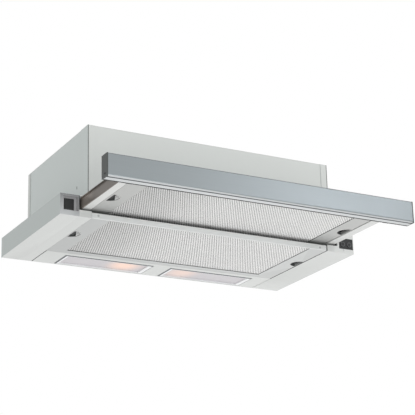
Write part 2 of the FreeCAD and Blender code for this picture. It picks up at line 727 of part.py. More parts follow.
def filter_frame(place_name, y_front, level):
    """Folded aluminium frame of a filter with finger cups and hanging tongues."""
    name = f"filter_frame_{place_name}"
    half = filter_half
    mesh_half = filter_half - size.filter_side_border
    window_y = (y_front + size.filter_front_border, y_front + size.filter_depth - size.filter_rear_border)
    body, sketch = profile_body(f"{name}_body", "XY_Plane", [
        rectangle((-half, half), (y_front, y_front + size.filter_depth)),
        rectangle((-mesh_half, mesh_half), window_y),
    ])
    place(body, ZERO, ZERO, level)
    pad(body, sketch, size.filter_thickness)
    seat = size.mesh_seat
    cutters = [block(f"{name}_seat", (-mesh_half - seat, mesh_half + seat),
                     (window_y[0] - seat, window_y[1] + seat),
                     (level + gauge, level + size.filter_thickness - gauge))]
    cup_y = y_front + size.cup_setback
    for side in SIDES:
        wall = half - gauge
        disc = rod(f"{name}_cup_disc_{side}", (reach(side, wall), cup_y, level - overrun), size.cup_radius,
                   cup_top + overrun)
        bounds = block(f"{name}_cup_bounds_{side}", span(side, wall - size.cup_radius, wall),
                       around(cup_y, size.cup_radius * 2), (level - overrun, level + cup_top))
        cup = doc.addObject("Part::Common", f"{name}_cup_{side}")
        cup.Base = disc
        cup.Tool = bounds
        cutters.append(cup)
        gap = size.hook_clearance / 2
        cutters.append(block(f"{name}_bolt_slot_{side}", span(side, wall - overrun, half + overrun),
                             around(cup_y, size.bolt_width + gap * 2),
                             (level + bolt_low - gap, level + bolt_high + gap)))
    frame = cut(f"{name}_ring", body, cutters)
    pieces = [frame]
    tongue_z = level + bolt_low
    for side in SIDES:
        tongue_x = around(reach(side, size.tongue_reach), size.tongue_width)
        rear = y_front + size.filter_depth
        pieces.append(block(f"{name}_tongue_{side}", tongue_x, (rear, rear + size.tongue_length),
                            (tongue_z, tongue_z + gauge)))
    node(name, joined(f"{name}_solid", pieces))


def filter_layers(place_name, y_front, level):
    """The expanded metal face of a filter and the fine layers spaced above it."""
    half = filter_half - size.filter_side_border + size.mesh_seat - size.mesh_clearance
    spread = size.mesh_seat - size.mesh_clearance
    depth = (y_front + size.filter_front_border - spread,
             y_front + size.filter_depth - size.filter_rear_border + spread)
    low = level + gauge
    top = low + size.mesh_thickness
    node(f"filter_mesh_{place_name}", block(f"filter_mesh_{place_name}_sheet", (-half, half), depth, (low, top)))
    layers = []
    layer_count = 3
    pitch = (level + size.filter_thickness - gauge - top) / layer_count
    for number in range(layer_count):
        lower = top + pitch * (number + 1) - size.mesh_clearance - size.layer_thickness
        layers.append(block(f"filter_layer_{place_name}_{number}", (-half, half), depth,
                            (lower, lower + size.layer_thickness)))
    node(f"filter_layers_{place_name}", group(f"filter_stack_{place_name}", layers))


def filter_latch(place_name, side, y_front, level, edge):
    """Sprung latch in a finger cup: a pad for the finger and a bolt over the folded edge."""
    name = f"latch_{place_name}_{side}"
    cup_y = y_front + size.cup_setback
    wall = filter_half - gauge
    pad_outer = wall - size.hook_clearance / 2
    pad_piece = block(f"{name}_pad", span(side, pad_outer - size.latch_pad_width, pad_outer),
                      around(cup_y, size.latch_pad_length),
                      (level + size.latch_pad_rise, level + size.latch_pad_rise + size.latch_pad_height))
    stem = block(f"{name}_stem", span(side, pad_outer - size.latch_pad_width, pad_outer),
                 around(cup_y, size.bolt_width),
                 (level + size.latch_pad_rise, level + bolt_high))
    bolt = block(f"{name}_bolt", span(side, pad_outer - size.latch_pad_width, edge + size.bolt_engagement),
                 around(cup_y, size.bolt_width), (level + bolt_low, level + bolt_high))
    node(name, joined(f"{name}_solid", [pad_piece, stem, bolt]))


# Lamps

def window_middle(side):
    """X value of a lamp window's middle."""
    return reach(side, (window_width + size.window_gap) / 2) + size.window_offset


def lamp_panel():
    """Sheet across the rear of the underside with two lamp windows and a front fold."""
    half = open_half - size.lamp_panel_gap
    outlines = [rectangle((-half, half), (lamp_panel_front, -gauge))]
    for side in SIDES:
        outlines.append(rectangle(around(window_middle(side), window_width), window_depth))
    body, sketch = profile_body("lamp_panel_body", "XY_Plane", outlines)
    pad(body, sketch, gauge)
    fold = block("lamp_panel_fold", (-half, half), (lamp_panel_front, lamp_panel_front + gauge),
                 (ZERO, size.fold_height))
    node("lamp_panel", joined("lamp_panel_solid", [body, fold]))


def lamp_tray(side):
    """Reflector tray above a lamp window, open below and as wide inside as the window."""
    name = f"lamp_tray_{side}"
    across = around(window_middle(side), window_width)
    wall = size.tray_wall
    hollow = block(f"{name}_hollow", across, window_depth, (gauge - overrun, tray_ceiling))
    shell = block(f"{name}_shell", (across[0] - wall, across[1] + wall),
                  (window_depth[0] - wall, window_depth[1] + wall), (gauge, tray_ceiling + wall))
    node(name, cut(f"{name}_solid", shell, [hollow]))


def lamp_rod(name, side, near, far, radius):
    """A cylinder on a lamp's axis between two distances from the centre line."""
    start = (span(side, near, far)[0], lamp_y, lamp_z)
    return rod(name, start, radius, far - near, ALONG_X)


def lamp_holders():
    """Lamp holders, each with a foot up to the top of its tray."""
    items = []
    bore_end = glass_end() + size.lamp_cap_length + size.part_clearance
    back = bore_end + size.holder_floor
    near = back - size.holder_length
    for side in SIDES:
        sleeve = lamp_rod(f"holder_sleeve_{side}", side, near, back, size.holder_radius)
        foot = block(f"holder_foot_{side}", span(side, back - size.holder_foot, back),
                     around(lamp_y, size.holder_radius), (lamp_z, tray_ceiling))
        bore = lamp_rod(f"holder_bore_{side}", side, near - overrun, bore_end, size.holder_bore)
        items.append(cut(f"holder_{side}", joined(f"holder_body_{side}", [sleeve, foot]), [bore]))
    node("lamp_holders", group("lamp_holders_group", items))


def glass_end():
    """Distance from the centre line to the end of a lamp's glass."""
    return size.lamp_reach + size.glass_length


def lamp_caps():
    """Screw caps of the lamps, inside their holders."""
    items = []
    for side in SIDES:
        items.append(lamp_rod(f"lamp_cap_{side}", side, glass_end(), glass_end() + size.lamp_cap_length,
                              size.lamp_cap_radius))
    node("lamp_caps", group("lamp_caps_group", items))


def lamp_glasses():
    """Glass of the lamps, turned on their axis from the neck to the round tip."""
    items = []
    radius = size.glass_radius
    neck = size.lamp_cap_radius
    corners = [
        (ZERO, ZERO),
        (neck, ZERO),
        (neck, size.glass_neck),
        (radius, size.glass_neck + radius - neck),
    ]
    for angle in (0, 30, 60):
        turn = math.radians(angle)
        corners.append((radius * math.cos(turn), size.glass_length - radius * (1 - math.sin(turn))))
    corners.append((ZERO, size.glass_length))
    for side in SIDES:
        body, sketch = profile_body(f"lamp_glass_{side}_body", "XZ_Plane", [corners])
        turned(body, sketch)
        way = ALONG_X if side == "left" else AGAINST_X
        place(body, reach(side, glass_end()), lamp_y, lamp_z, way)
        items.append(body)
    node("lamp_glasses", group("lamp_glasses_group", items))


def lamp_cover(side):
    """Snap-in lamp cover: plate, raised border and the clips that grip the tray."""
    name = f"lamp_cover_{side}"
    across = around(window_middle(side), window_width - size.cover_margin * 2)
    depth = (window_depth[0] + size.cover_margin, window_depth[1] - size.cover_margin)
    low = size.cover_rise
    high = low + size.cover_plate
    plate = block(f"{name}_plate", across, depth, (low, high))
    rim = block(f"{name}_rim", across, depth, (low - size.cover_rim_height, low))
    field = block(f"{name}_field", (across[0] + size.cover_rim, across[1] - size.cover_rim),
                  (depth[0] + size.cover_rim, depth[1] - size.cover_rim),
                  (low - size.cover_rim_height - overrun, low))
    border = cut(f"{name}_border", rim, [field])
    pieces = [plate, border]
    grip = around(window_middle(side), window_width - size.clip_clearance * 2)
    clip_y = around(lamp_y, size.clip_width)
    ends = ((grip[0], across[0] + size.cover_plate), (across[1] - size.cover_plate, grip[1]))
    for number, clip_x in enumerate(ends):
        pieces.append(block(f"{name}_clip_{number}", clip_x, clip_y, (low, high + size.clip_height)))
    node(name, joined(f"{name}_solid", pieces))


# Controls

def switch_bezel():
    """Moulded pocket in the left front face, with the guide of the lamp button."""
    wall = size.bezel_wall
    outer = block("bezel_outer", span("left", pocket_inner - wall, pocket_outer + wall),
                  (front + gauge, pocket_back + size.switch_wall),
                  (size.pocket_bottom - wall, pocket_top + wall))
    pocket = block("bezel_pocket", span("left", pocket_inner, pocket_outer), (front - overrun, pocket_back),
                   (size.pocket_bottom, pocket_top))
    guide = block("bezel_guide", lamp_button_x(size.button_clearance),
                  (pocket_back - overrun, pocket_back + size.switch_wall + overrun),
                  lamp_button_z(size.button_clearance))
    node("switch_bezel", cut("switch_bezel_solid", outer, [pocket, guide]))


def lamp_button_x(clearance):
    """X range of the lamp button, widened by a clearance."""
    margin = size.lamp_button_side - clearance
    return span("left", pocket_inner + margin, pocket_outer - margin)


def lamp_button_z(clearance):
    """Z range of the lamp button, widened by a clearance."""
    margin = size.lamp_button_end - clearance
    return (size.pocket_bottom + margin, pocket_top - margin)


def lamp_button():
    """Square push button for the lamps."""
    face = pocket_back - size.lamp_button_proud
    node("lamp_button", block("lamp_button_block", lamp_button_x(ZERO), (face, face + size.lamp_button_length),
                              lamp_button_z(ZERO)))


def lamp_switch():
    """Switch body behind the lamp button, with room for its push."""
    face = pocket_back + size.switch_wall
    room = pocket_back - size.lamp_button_proud + size.lamp_button_length + size.button_travel
    wall = size.switch_wall
    shell = block("lamp_switch_shell", lamp_button_x(wall), (face, face + size.switch_depth), lamp_button_z(wall))
    hollow = block("lamp_switch_hollow", lamp_button_x(size.button_clearance),
                   (face - overrun, room + size.button_clearance), lamp_button_z(size.button_clearance))
    node("lamp_switch", cut("lamp_switch_solid", shell, [hollow]))


def round_button_level():
    """Height of the round buttons."""
    return (size.control_bottom + control_top) / 2 - size.round_button_drop


def round_button_places():
    """Distances of the two round buttons from the centre line."""
    return (
        ("inner", control_inner + size.round_button_margin),
        ("outer", control_outer - size.round_button_margin),
    )


def control_block():
    """Block in the right front face that guides the two round buttons, with a flange behind the steel."""
    face = front + size.control_setback
    flange = size.control_flange
    nose = block("control_nose", span("right", control_inner, control_outer),
                 (face, face + size.control_block_depth), (size.control_bottom, control_top))
    plate = block("control_plate", span("right", control_inner - flange, base_half - gauge),
                  (front + gauge, front + gauge + flange),
                  (size.control_bottom - flange, control_top + flange))
    bores = []
    depth = size.round_button_length - size.round_button_proud + size.button_travel + size.button_clearance
    for place_name, distance in round_button_places():
        start = (distance, face - overrun, round_button_level())
        bores.append(rod(f"control_bore_{place_name}", start, size.round_button_radius + size.button_clearance,
                         depth + overrun, ALONG_Y))
    node("control_block", cut("control_block_solid", joined("control_body", [nose, plate]), bores))


def speed_button(place_name, distance):
    """Round push button of the motor."""
    start = (distance, front + size.control_setback - size.round_button_proud, round_button_level())
    node(f"speed_button_{place_name}", rod(f"speed_button_{place_name}_pin", start, size.round_button_radius,
                                           size.round_button_length, ALONG_Y))


# Blower

def at_wheel(angle, radius):
    """Point in the YZ plane at an angle from the wheel's axis, 0 towards the wall, 90 up."""
    turn = math.radians(angle)
    return FreeCAD.Vector(0, wheel_y.value + radius * math.cos(turn), wheel_z.value + radius * math.sin(turn))


def scroll_face(grow):
    """Flat face of the snail housing's air space, grown outwards by a wall."""
    wheel = wheel_radius.value + grow
    throat = wheel + size.scroll_throat_gap.value
    floor = wheel + size.scroll_floor_gap.value
    mouth = wheel + size.scroll_mouth_gap.value
    tongue_y = wheel_y.value - size.tongue_shift.value + grow
    top = roof.value - gauge.value
    start_angle = math.degrees(math.acos((tongue_y - wheel_y.value) / throat))
    start = at_wheel(start_angle, throat)
    stations = (
        (start_angle, throat),
        (start_angle / 2, throat),
        (0.0, throat),
        (-45.0, (throat + floor) / 2),
        (-90.0, floor),
        (-135.0, (floor + mouth) / 2),
        (-180.0, mouth),
    )
    points = [at_wheel(angle, radius) for angle, radius in stations]
    edges = []
    for index in range(0, len(points) - 1, 2):
        arc = Part.Arc(points[index], points[index + 1], points[index + 2])
        edges.append(arc.toShape())
    outer_top = FreeCAD.Vector(0, points[-1].y, top)
    inner_top = FreeCAD.Vector(0, tongue_y, top)
    edges.append(Part.makeLine(points[-1], outer_top))
    edges.append(Part.makeLine(outer_top, inner_top))
    edges.append(Part.makeLine(inner_top, start))
    return Part.Face(Part.Wire(edges))


def scroll_half(side):
    """Half of the snail housing: side wall with an inlet, and half of the rim."""
    name = f"scroll_{side}"
    wall = size.scroll_wall.value
    half = scroll_half_width.value
    way = -1 if side == "left" else 1
    outside = scroll_face(wall).extrude(FreeCAD.Vector(way * half, 0, 0))
    inside = scroll_face(0).extrude(FreeCAD.Vector(way * (half - wall), 0, 0))
    inlet = Part.makeCylinder(inlet_radius.value, half * 2, FreeCAD.Vector(0, wheel_y.value, wheel_z.value),
                              FreeCAD.Vector(way, 0, 0))
    item = doc.addObject("Part::Feature", f"{name}_shell")
    item.Shape = outside.cut([inside, inlet])
    item.Placement = FreeCAD.Placement()
    node(name, item)


def blower_wheel():
    """Double-inlet wheel: middle disc, hub, two end rings and leaning blades."""
    outer = wheel_radius.value
    inner = outer - size.wheel_blade_depth.value
    half = size.wheel_width.value / 2
    ring = size.wheel_ring.value
    along = FreeCAD.Vector(1, 0, 0)

    def disc(radius, start, length):
        middle = FreeCAD.Vector(start, wheel_y.value, wheel_z.value)
        return Part.makeCylinder(radius, length, middle, along)

    def end_ring(start):
        return disc(outer, start, ring).cut(disc(inner, start, ring))

    hub_length = size.hub_length.value
    pieces = [
        disc(outer, -ring / 2, ring),
        disc(size.hub_radius.value, -hub_length / 2, hub_length),
        end_ring(-half),
        end_ring(half - ring),
    ]
    thickness = size.blade_thickness.value
    blade_count = 30
    for number in range(blade_count):
        blade = Part.makeBox(half * 2, size.wheel_blade_depth.value, thickness,
                             FreeCAD.Vector(-half, inner, -thickness / 2))
        pivot = FreeCAD.Vector(0, (inner + outer) / 2, 0)
        blade.rotate(pivot, along, size.blade_lean.value)
        blade.rotate(FreeCAD.Vector(), along, 360 * number / blade_count)
        blade.translate(FreeCAD.Vector(0, wheel_y.value, wheel_z.value))
        pieces.append(blade)
    solid = pieces[0].fuse(pieces[1:])
    trim = disc(outer, -half, half * 2)
    bore = disc(size.shaft_radius.value, -half, half * 2)
    item = doc.addObject("Part::Feature", "blower_wheel_solid")
    item.Shape = solid.common(trim).cut(bore)
    item.Placement = FreeCAD.Placement()
    node("blower_wheel", item)


def motor_shaft():
    """Shaft that carries the wheel."""
    start = (-size.hub_length / 2, wheel_y, wheel_z)
    node("motor_shaft", rod("motor_shaft_rod", start, size.shaft_radius, shaft_end + size.hub_length / 2, ALONG_X))


def motor():
    """Motor that reaches into the right inlet, bored for its shaft."""
    shell = rod("motor_shell", (motor_start, wheel_y, wheel_z), motor_radius, size.motor_length, ALONG_X)
    bore = rod("motor_bore", (motor_start - overrun, wheel_y, wheel_z), size.shaft_radius + size.shaft_fit,
               shaft_end + size.part_clearance - motor_start + overrun, ALONG_X)
    node("motor", cut("motor_solid", shell, [bore]))


def motor_bracket():
    """Ring and three arms that hang the motor on the scroll's right side."""
    side = scroll_half_width.value
    thickness = size.motor_arm_thickness.value
    reach_out = inlet_radius.value + size.motor_arm_overlap.value
    along = FreeCAD.Vector(1, 0, 0)
    middle = FreeCAD.Vector(side, wheel_y.value, wheel_z.value)
    hole = Part.makeCylinder(motor_radius.value, thickness, middle, along)
    band = size.motor_arm_width.value / 2
    bracket = Part.makeCylinder(motor_radius.value + band, thickness, middle, along)
    arm_count = 3
    for number in range(arm_count):
        arm = Part.makeBox(thickness, reach_out, size.motor_arm_width.value,
                           FreeCAD.Vector(0, 0, -size.motor_arm_width.value / 2))
        arm.rotate(FreeCAD.Vector(), along, 90 + 360 * number / arm_count)
        arm.translate(middle)
        bracket = bracket.fuse(arm)
    item = doc.addObject("Part::Feature", "motor_bracket_plate")
    item.Shape = bracket.cut(hole).removeSplitter()
    item.Placement = FreeCAD.Placement()
    node("motor_bracket", item)


# Duct outlet

def duct_spigot():
    """Round collar for the duct, with a flange, stops for the flaps and bosses for their pin."""
    outer = size.spigot_radius
    inner = spigot_bore
    flange = size.spigot_flange
    corners = [
        (inner, ZERO),
        (outer + size.spigot_flange_width, ZERO),
        (outer + size.spigot_flange_width, flange),
        (outer, flange),
        (outer, flange + size.spigot_height),
        (inner, flange + size.spigot_height),
    ]
    body, sketch = profile_body("duct_spigot_body", "XZ_Plane", [corners])
    turned(body, sketch)
    place(body, ZERO, spigot_y, roof)
    pin_radius = size.flap_pin_radius
    bosses = []
    stop_top = flap_pin_z - size.flap_thickness / 2 - size.part_clearance
    near = inner - size.flap_stop_reach
    far = inner + size.spigot_wall / 2
    stops = {"front": (spigot_y - far, spigot_y - near), "rear": (spigot_y + near, spigot_y + far)}
    for place_name, stop_y in stops.items():
        bosses.append(block(f"flap_stop_{place_name}", around(ZERO, size.flap_stop_width), stop_y,
                            (stop_top - size.flap_stop_height, stop_top)))
    for side in SIDES:
        block_x = span(side, inner - size.pin_boss_length, inner + size.spigot_wall / 2)
        boss = block(f"pin_boss_{side}", block_x, around(spigot_y, pin_radius * 4),
                     around(flap_pin_z, pin_radius * 4))
        bosses.append(boss)
    cutters = [rod("pin_seat", (-inner, spigot_y, flap_pin_z), pin_radius, inner * 2, ALONG_X)]
    for number, (x, y) in enumerate(spigot_screw_places()):
        cutters.append(rod(f"spigot_screw_hole_{number}", (x, y, roof - overrun),
                           size.screw_radius + size.screw_clearance, flange + overrun * 2))
    node("duct_spigot", cut("duct_spigot_solid", joined("duct_spigot_collar", [body, *bosses]), cutters))


def flap_pin():
    """Pin that both flaps turn on."""
    start = (-spigot_bore, spigot_y, flap_pin_z)
    node("flap_pin", rod("flap_pin_rod", start, size.flap_pin_radius, spigot_bore * 2, ALONG_X))


def knuckle_places(parity):
    """Start of every knuckle of one flap along the pin; the flaps take turns."""
    inner = spigot_bore.value - size.pin_boss_length.value
    pitch = size.flap_knuckle_length.value + size.flap_knuckle_gap.value
    count = int((inner * 2 - size.flap_knuckle_gap.value) // pitch)
    first = -(count * pitch - size.flap_knuckle_gap.value) / 2
    return [first + pitch * number for number in range(count) if number % 2 == parity]


def damper_flap(place_name, way, parity):
    """Half-round flap with knuckles on the pin. The way is -1 to the room and 1 to the wall."""
    pin_z = flap_pin_z.value
    y_pin = spigot_y.value
    thickness = size.flap_thickness.value
    bore_radius = size.flap_pin_radius.value + size.flap_pin_fit.value
    knuckle_radius = bore_radius + size.flap_knuckle_wall.value
    radius = spigot_bore.value - size.flap_clearance.value
    start = knuckle_radius + size.flap_knuckle_gap.value
    axis = FreeCAD.Vector(1, 0, 0)
    plate = Part.makeCylinder(radius, thickness, FreeCAD.Vector(0, y_pin, pin_z - thickness / 2))
    half = Part.makeBox(radius * 2, radius, thickness * 3,
                        FreeCAD.Vector(-radius, y_pin + (start if way > 0 else -start - radius),
                                       pin_z - thickness * 1.5))
    solid = plate.common(half)
    boss_room = knuckle_radius + size.flap_knuckle_gap.value
    inner = spigot_bore.value - size.pin_boss_length.value
    for sign in (-1, 1):
        corner_x = inner - size.flap_clearance.value if sign > 0 else -radius * 2
        notch = Part.makeBox(radius * 2 - inner + size.flap_clearance.value, boss_room * 4, thickness * 3,
                             FreeCAD.Vector(corner_x, y_pin - boss_room * 2, pin_z - thickness * 1.5))
        solid = solid.cut(notch)
    for begin in knuckle_places(parity):
        middle = FreeCAD.Vector(begin, y_pin, pin_z)
        tube = Part.makeCylinder(knuckle_radius, size.flap_knuckle_length.value, middle, axis)
        arm_y = y_pin if way > 0 else y_pin - start - thickness
        arm = Part.makeBox(size.flap_knuckle_length.value, start + thickness, thickness,
                           FreeCAD.Vector(begin, arm_y, pin_z - thickness / 2))
        solid = solid.fuse([tube, arm])
    bore = Part.makeCylinder(bore_radius, radius * 4, FreeCAD.Vector(-radius * 2, y_pin, pin_z), axis)
    item = doc.addObject("Part::Feature", f"flap_{place_name}_plate")
    item.Shape = solid.cut(bore).removeSplitter()
    item.Placement = FreeCAD.Placement()
    node(f"flap_{place_name}", item)


# Electrics and screws

def gland_x():
    """X value of the cable gland."""
    return box_half - size.gland_side


def terminal_x():
    """X range of the terminal box, beside the cable gland."""
    outer = gland_x() - size.gland_gap
    return (outer - size.terminal_width, outer)


def terminal_box():
    """Closed box for the mains connection, hung under the top panel."""
    top = roof - gauge
    across = terminal_x()
    depth = (-size.terminal_setback - size.terminal_depth, -size.terminal_setback)
    lid_edge = size.terminal_lid
    case = block("terminal_case", across, depth, (top - size.terminal_height, top))
    lid = block("terminal_lid_plate", (across[0] + lid_edge, across[1] - lid_edge),
                (depth[0] + lid_edge, depth[1] - lid_edge),
                (top - size.terminal_height - lid_edge, top - size.terminal_height))
    node("terminal_box", joined("terminal_box_solid", [case, lid]))


def run_capacitor():
    """Motor capacitor clipped to the side of the terminal box."""
    start = (terminal_x()[0] - size.capacitor_length, -size.terminal_setback - size.terminal_depth / 2,
             roof - gauge - size.part_clearance - size.capacitor_radius)
    node("capacitor", rod("capacitor_can", start, size.capacitor_radius, size.capacitor_length, ALONG_X))


def cable_gland():
    """Gland in the top panel where the mains cable goes in."""
    x = gland_x()
    y = -size.gland_setback
    tail = rod("gland_tail_rod", (x, y, roof - gauge - size.gland_tail), size.gland_radius,
               gauge + size.gland_tail + size.gland_collar)
    collar = rod("gland_collar_disc", (x, y, roof), size.gland_collar_radius, size.gland_collar)
    nose = doc.addObject("Part::Cone", "gland_nose")
    place(nose, x, y, roof + size.gland_collar)
    bind(nose, "Radius1", size.gland_radius)
    bind(nose, "Radius2", (size.gland_radius + size.gland_bore) / 2)
    bind(nose, "Height", size.gland_height)
    bore = rod("gland_bore_cutter", (x, y, roof - gauge - size.gland_tail - overrun), size.gland_bore,
               gauge + size.gland_tail + size.gland_collar + size.gland_height + overrun * 2)
    node("cable_gland", cut("cable_gland_solid", joined("gland_body", [tail, collar, nose]), [bore]))


def drawer_switch():
    """Microswitch on the rear wall that the right rail presses when the drawer is in."""
    middle = (rail_open + rail_reach) / 2
    closed = rail_rear + size.drawer_travel
    node("drawer_switch", block("drawer_switch_block", around(middle, size.drawer_switch_width),
                                (closed + size.part_clearance, -gauge),
                                (rail_bottom, rail_bottom + size.drawer_switch_height)))


def spigot_screws():
    """Screws that hold the spigot's flange on the top panel."""
    items = []
    seat = roof + size.spigot_flange
    for number, (x, y) in enumerate(spigot_screw_places()):
        head = rod(f"screw_head_{number}", (x, y, seat), size.screw_head_radius, size.screw_head_height)
        shank = rod(f"screw_shank_{number}", (x, y, seat - size.screw_length), size.screw_radius,
                    size.screw_length)
        items.append(joined(f"screw_{number}", [head, shank]))
    node("spigot_screws", group("spigot_screws_group", items))


def build():
    """Build every sub-part of the hood."""
    for side in SIDES:
        base_side(side)
        box_side(side)
        corner_angle(side)
        drawer_runner(side)
        drawer_rail(side)
        bar_cap(side)
        lamp_tray(side)
        lamp_cover(side)
        scroll_half(side)
    base_rear()
    box_front()
    box_rear()
    box_top()
    drawer_cover()
    drawer_rear_bar()
    front_bar()
    bar_brackets()
    bar_bumpers()
    filters = (("fixed", front, ZERO, open_half), ("drawer", drawer_filter_front, rail_bottom, rail_open))
    for place_name, y_front, level, edge in filters:
        filter_frame(place_name, y_front, level)
        filter_layers(place_name, y_front, level)
        for side in SIDES:
            filter_latch(place_name, side, y_front, level, edge)
    lamp_panel()
    lamp_holders()
    lamp_caps()
    lamp_glasses()
    switch_bezel()
    lamp_button()
    lamp_switch()
    control_block()
    for place_name, distance in round_button_places():
        speed_button(place_name, distance)
    blower_wheel()
    motor_shaft()
    motor()
    motor_bracket()
    duct_spigot()
    flap_pin()
    damper_flap("front", -1, 0)
    damper_flap("rear", 1, 1)
    terminal_box()
    run_capacitor()
    cable_gland()
    drawer_switch()
    spigot_screws()


def check_document():
    """Stop if any object failed, or a sub-part is empty or invalid."""
    for item in doc.Objects:
        if "Invalid" in item.State or "Error" in item.State:
            raise RuntimeError(f"{item.Name} failed: {item.State}")
    for item in NODES:
        if item.Shape.isNull() or not item.Shape.isValid() or not item.Shape.Solids:
            raise RuntimeError(f"{item.Label} has no valid solid")


def export():
    """Write each sub-part to its own file."""
    os.makedirs("parts", exist_ok=True)
    for item in NODES:
        item.Shape.exportStep(f"parts/{item.Label}.step")


build()
doc.recompute()
check_document()
export()
print(f"{len(NODES)} sub-parts, {sum(len(item.Shape.Solids) for item in NODES)} solids")
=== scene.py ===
"""A built-in cooker hood with a slide-out front, dressed over its solid frame for a studio picture."""

import functools
import json
import logging
import math
from collections.abc import Callable, Iterator, Sequence
from contextlib import contextmanager
from dataclasses import dataclass, replace
from enum import Enum

import bmesh
import bpy
from mathutils import Matrix, Vector


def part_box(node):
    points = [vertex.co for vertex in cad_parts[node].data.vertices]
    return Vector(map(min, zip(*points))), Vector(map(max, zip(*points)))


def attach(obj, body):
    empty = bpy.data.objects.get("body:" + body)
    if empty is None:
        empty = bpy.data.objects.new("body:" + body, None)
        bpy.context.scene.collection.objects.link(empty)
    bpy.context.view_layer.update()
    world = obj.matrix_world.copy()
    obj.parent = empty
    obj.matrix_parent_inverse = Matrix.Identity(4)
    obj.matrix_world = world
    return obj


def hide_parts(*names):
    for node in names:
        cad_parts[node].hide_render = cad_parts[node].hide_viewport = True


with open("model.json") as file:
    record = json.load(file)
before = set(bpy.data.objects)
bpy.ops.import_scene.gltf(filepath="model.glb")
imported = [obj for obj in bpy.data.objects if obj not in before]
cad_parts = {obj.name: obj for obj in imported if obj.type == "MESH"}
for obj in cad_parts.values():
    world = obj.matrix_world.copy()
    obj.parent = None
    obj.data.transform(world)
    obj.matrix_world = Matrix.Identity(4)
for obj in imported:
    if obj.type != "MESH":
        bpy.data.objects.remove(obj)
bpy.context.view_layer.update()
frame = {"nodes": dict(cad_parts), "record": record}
MM = 0.001
HAIR = 0.1 * MM  # how near to a place counts as there
FACING = 0.9  # how much of a normal points along an axis when the face looks that way
log = logging.getLogger("hood")

Level = tuple[int, int, int]
Triple = tuple[float, float, float]
Test = Callable[[Vector, Vector], bool]
Piece = bpy.types.Object
Socket = bpy.types.NodeSocket


class Side(Enum):
    """The two ends of the hood, with the sign of their X."""

    LEFT = -1
    RIGHT = 1

    @property
    def word(self) -> str:
        """Word that the node names use for this side."""
        return self.name.lower()


class FilterPlace(Enum):
    """The two grease filters, by the word that their node names use."""

    FIXED = "fixed"
    DRAWER = "drawer"


class Pick(Enum):
    """What an edit-mode selection picks."""

    CORNERS = "VERT"
    EDGES = "EDGE"
    FACES = "FACE"


# Colours and node sheets


def tone(levels: Level) -> tuple[float, float, float, float]:
    """Turn the screen levels of a colour into the linear values that shaders take.

    Args:
        levels: red, green and blue, each 0 to 255.

    Returns:
        Linear red, green, blue and a full alpha.
    """
    parts = [level / 255 for level in levels]
    red, green, blue = (p / 12.92 if p <= 0.04045 else ((p + 0.055) / 1.055) ** 2.4 for p in parts)
    return red, green, blue, 1.0


class NodeSheet:
    """Lays nodes in one material, world or group, and joins them."""

    def __init__(self, tree: bpy.types.NodeTree) -> None:
        """Start on an empty tree."""
        self.tree = tree
        tree.nodes.clear()

    def put(self, kind: str, inputs: dict | None = None, **settings: object) -> bpy.types.Node:
        """Add one node and fill its inputs.

        Args:
            kind: node type without its ShaderNode prefix.
            inputs: a plain value or an output socket for each input.
            settings: node properties.

        Returns:
            The new node.
        """
        item = self.tree.nodes.new(kind if kind.startswith("NodeGroup") else f"ShaderNode{kind}")
        for name, value in settings.items():
            setattr(item, name, value)
        for name, value in (inputs or {}).items():
            if isinstance(value, Socket):
                self.tree.links.new(value, item.inputs[name])
            else:
                item.inputs[name].default_value = value
        return item

    def sums(self, operation: str, *values: object) -> Socket:
        """Add a Math node for some numbers or sockets, and give its result."""
        return self.put("Math", dict(enumerate(values)), operation=operation).outputs[0]

    def blend(self, share: Socket, first: object, second: object) -> Socket:
        """Mix two colours, from the first to the second as the share goes from 0 to 1."""
        return self.put("Mix", {"Factor": share, "A": first, "B": second}, data_type="RGBA").outputs["Result"]


@functools.cache
def grained_surface() -> bpy.types.NodeTree:
    """Build the shared group that shades a colour and a gloss by one stretched noise.

    Returns:
        Group with a colour, a roughness and a height as outputs.
    """
    group = bpy.data.node_groups.new("grained surface", "ShaderNodeTree")
    sheet = NodeSheet(group)
    sockets = (("Vector", "Vector"), ("Stretch", "Vector"), ("Scale", "Float"), ("Detail", "Float"),
               ("Colour", "Color"), ("Shade", "Float"), ("Roughness", "Float"), ("Spread", "Float"))
    results = (("Colour", "Color"), ("Roughness", "Float"), ("Height", "Float"))
    for way, pairs in (("INPUT", sockets), ("OUTPUT", results)):
        for name, kind in pairs:
            group.interface.new_socket(name, in_out=way, socket_type=f"NodeSocket{kind}")
    given = sheet.put("NodeGroupInput").outputs
    drawn = sheet.put("VectorMath", {0: given["Vector"], 1: given["Stretch"]}, operation="MULTIPLY")
    noise = sheet.put("TexNoise", {"Vector": drawn.outputs[0], "Scale": given["Scale"], "Detail": given["Detail"]})
    swing = sheet.sums("MULTIPLY_ADD", noise.outputs[0], 2.0, -1.0)
    light = sheet.sums("MULTIPLY_ADD", swing, given["Shade"], 1.0)
    shaded = sheet.put("VectorMath", {0: given["Colour"], "Scale": light}, operation="SCALE")
    gloss = sheet.sums("MULTIPLY_ADD", swing, given["Spread"], given["Roughness"])
    sheet.put("NodeGroupOutput", {"Colour": shaded.outputs[0], "Roughness": gloss, "Height": noise.outputs[0]})
    return group


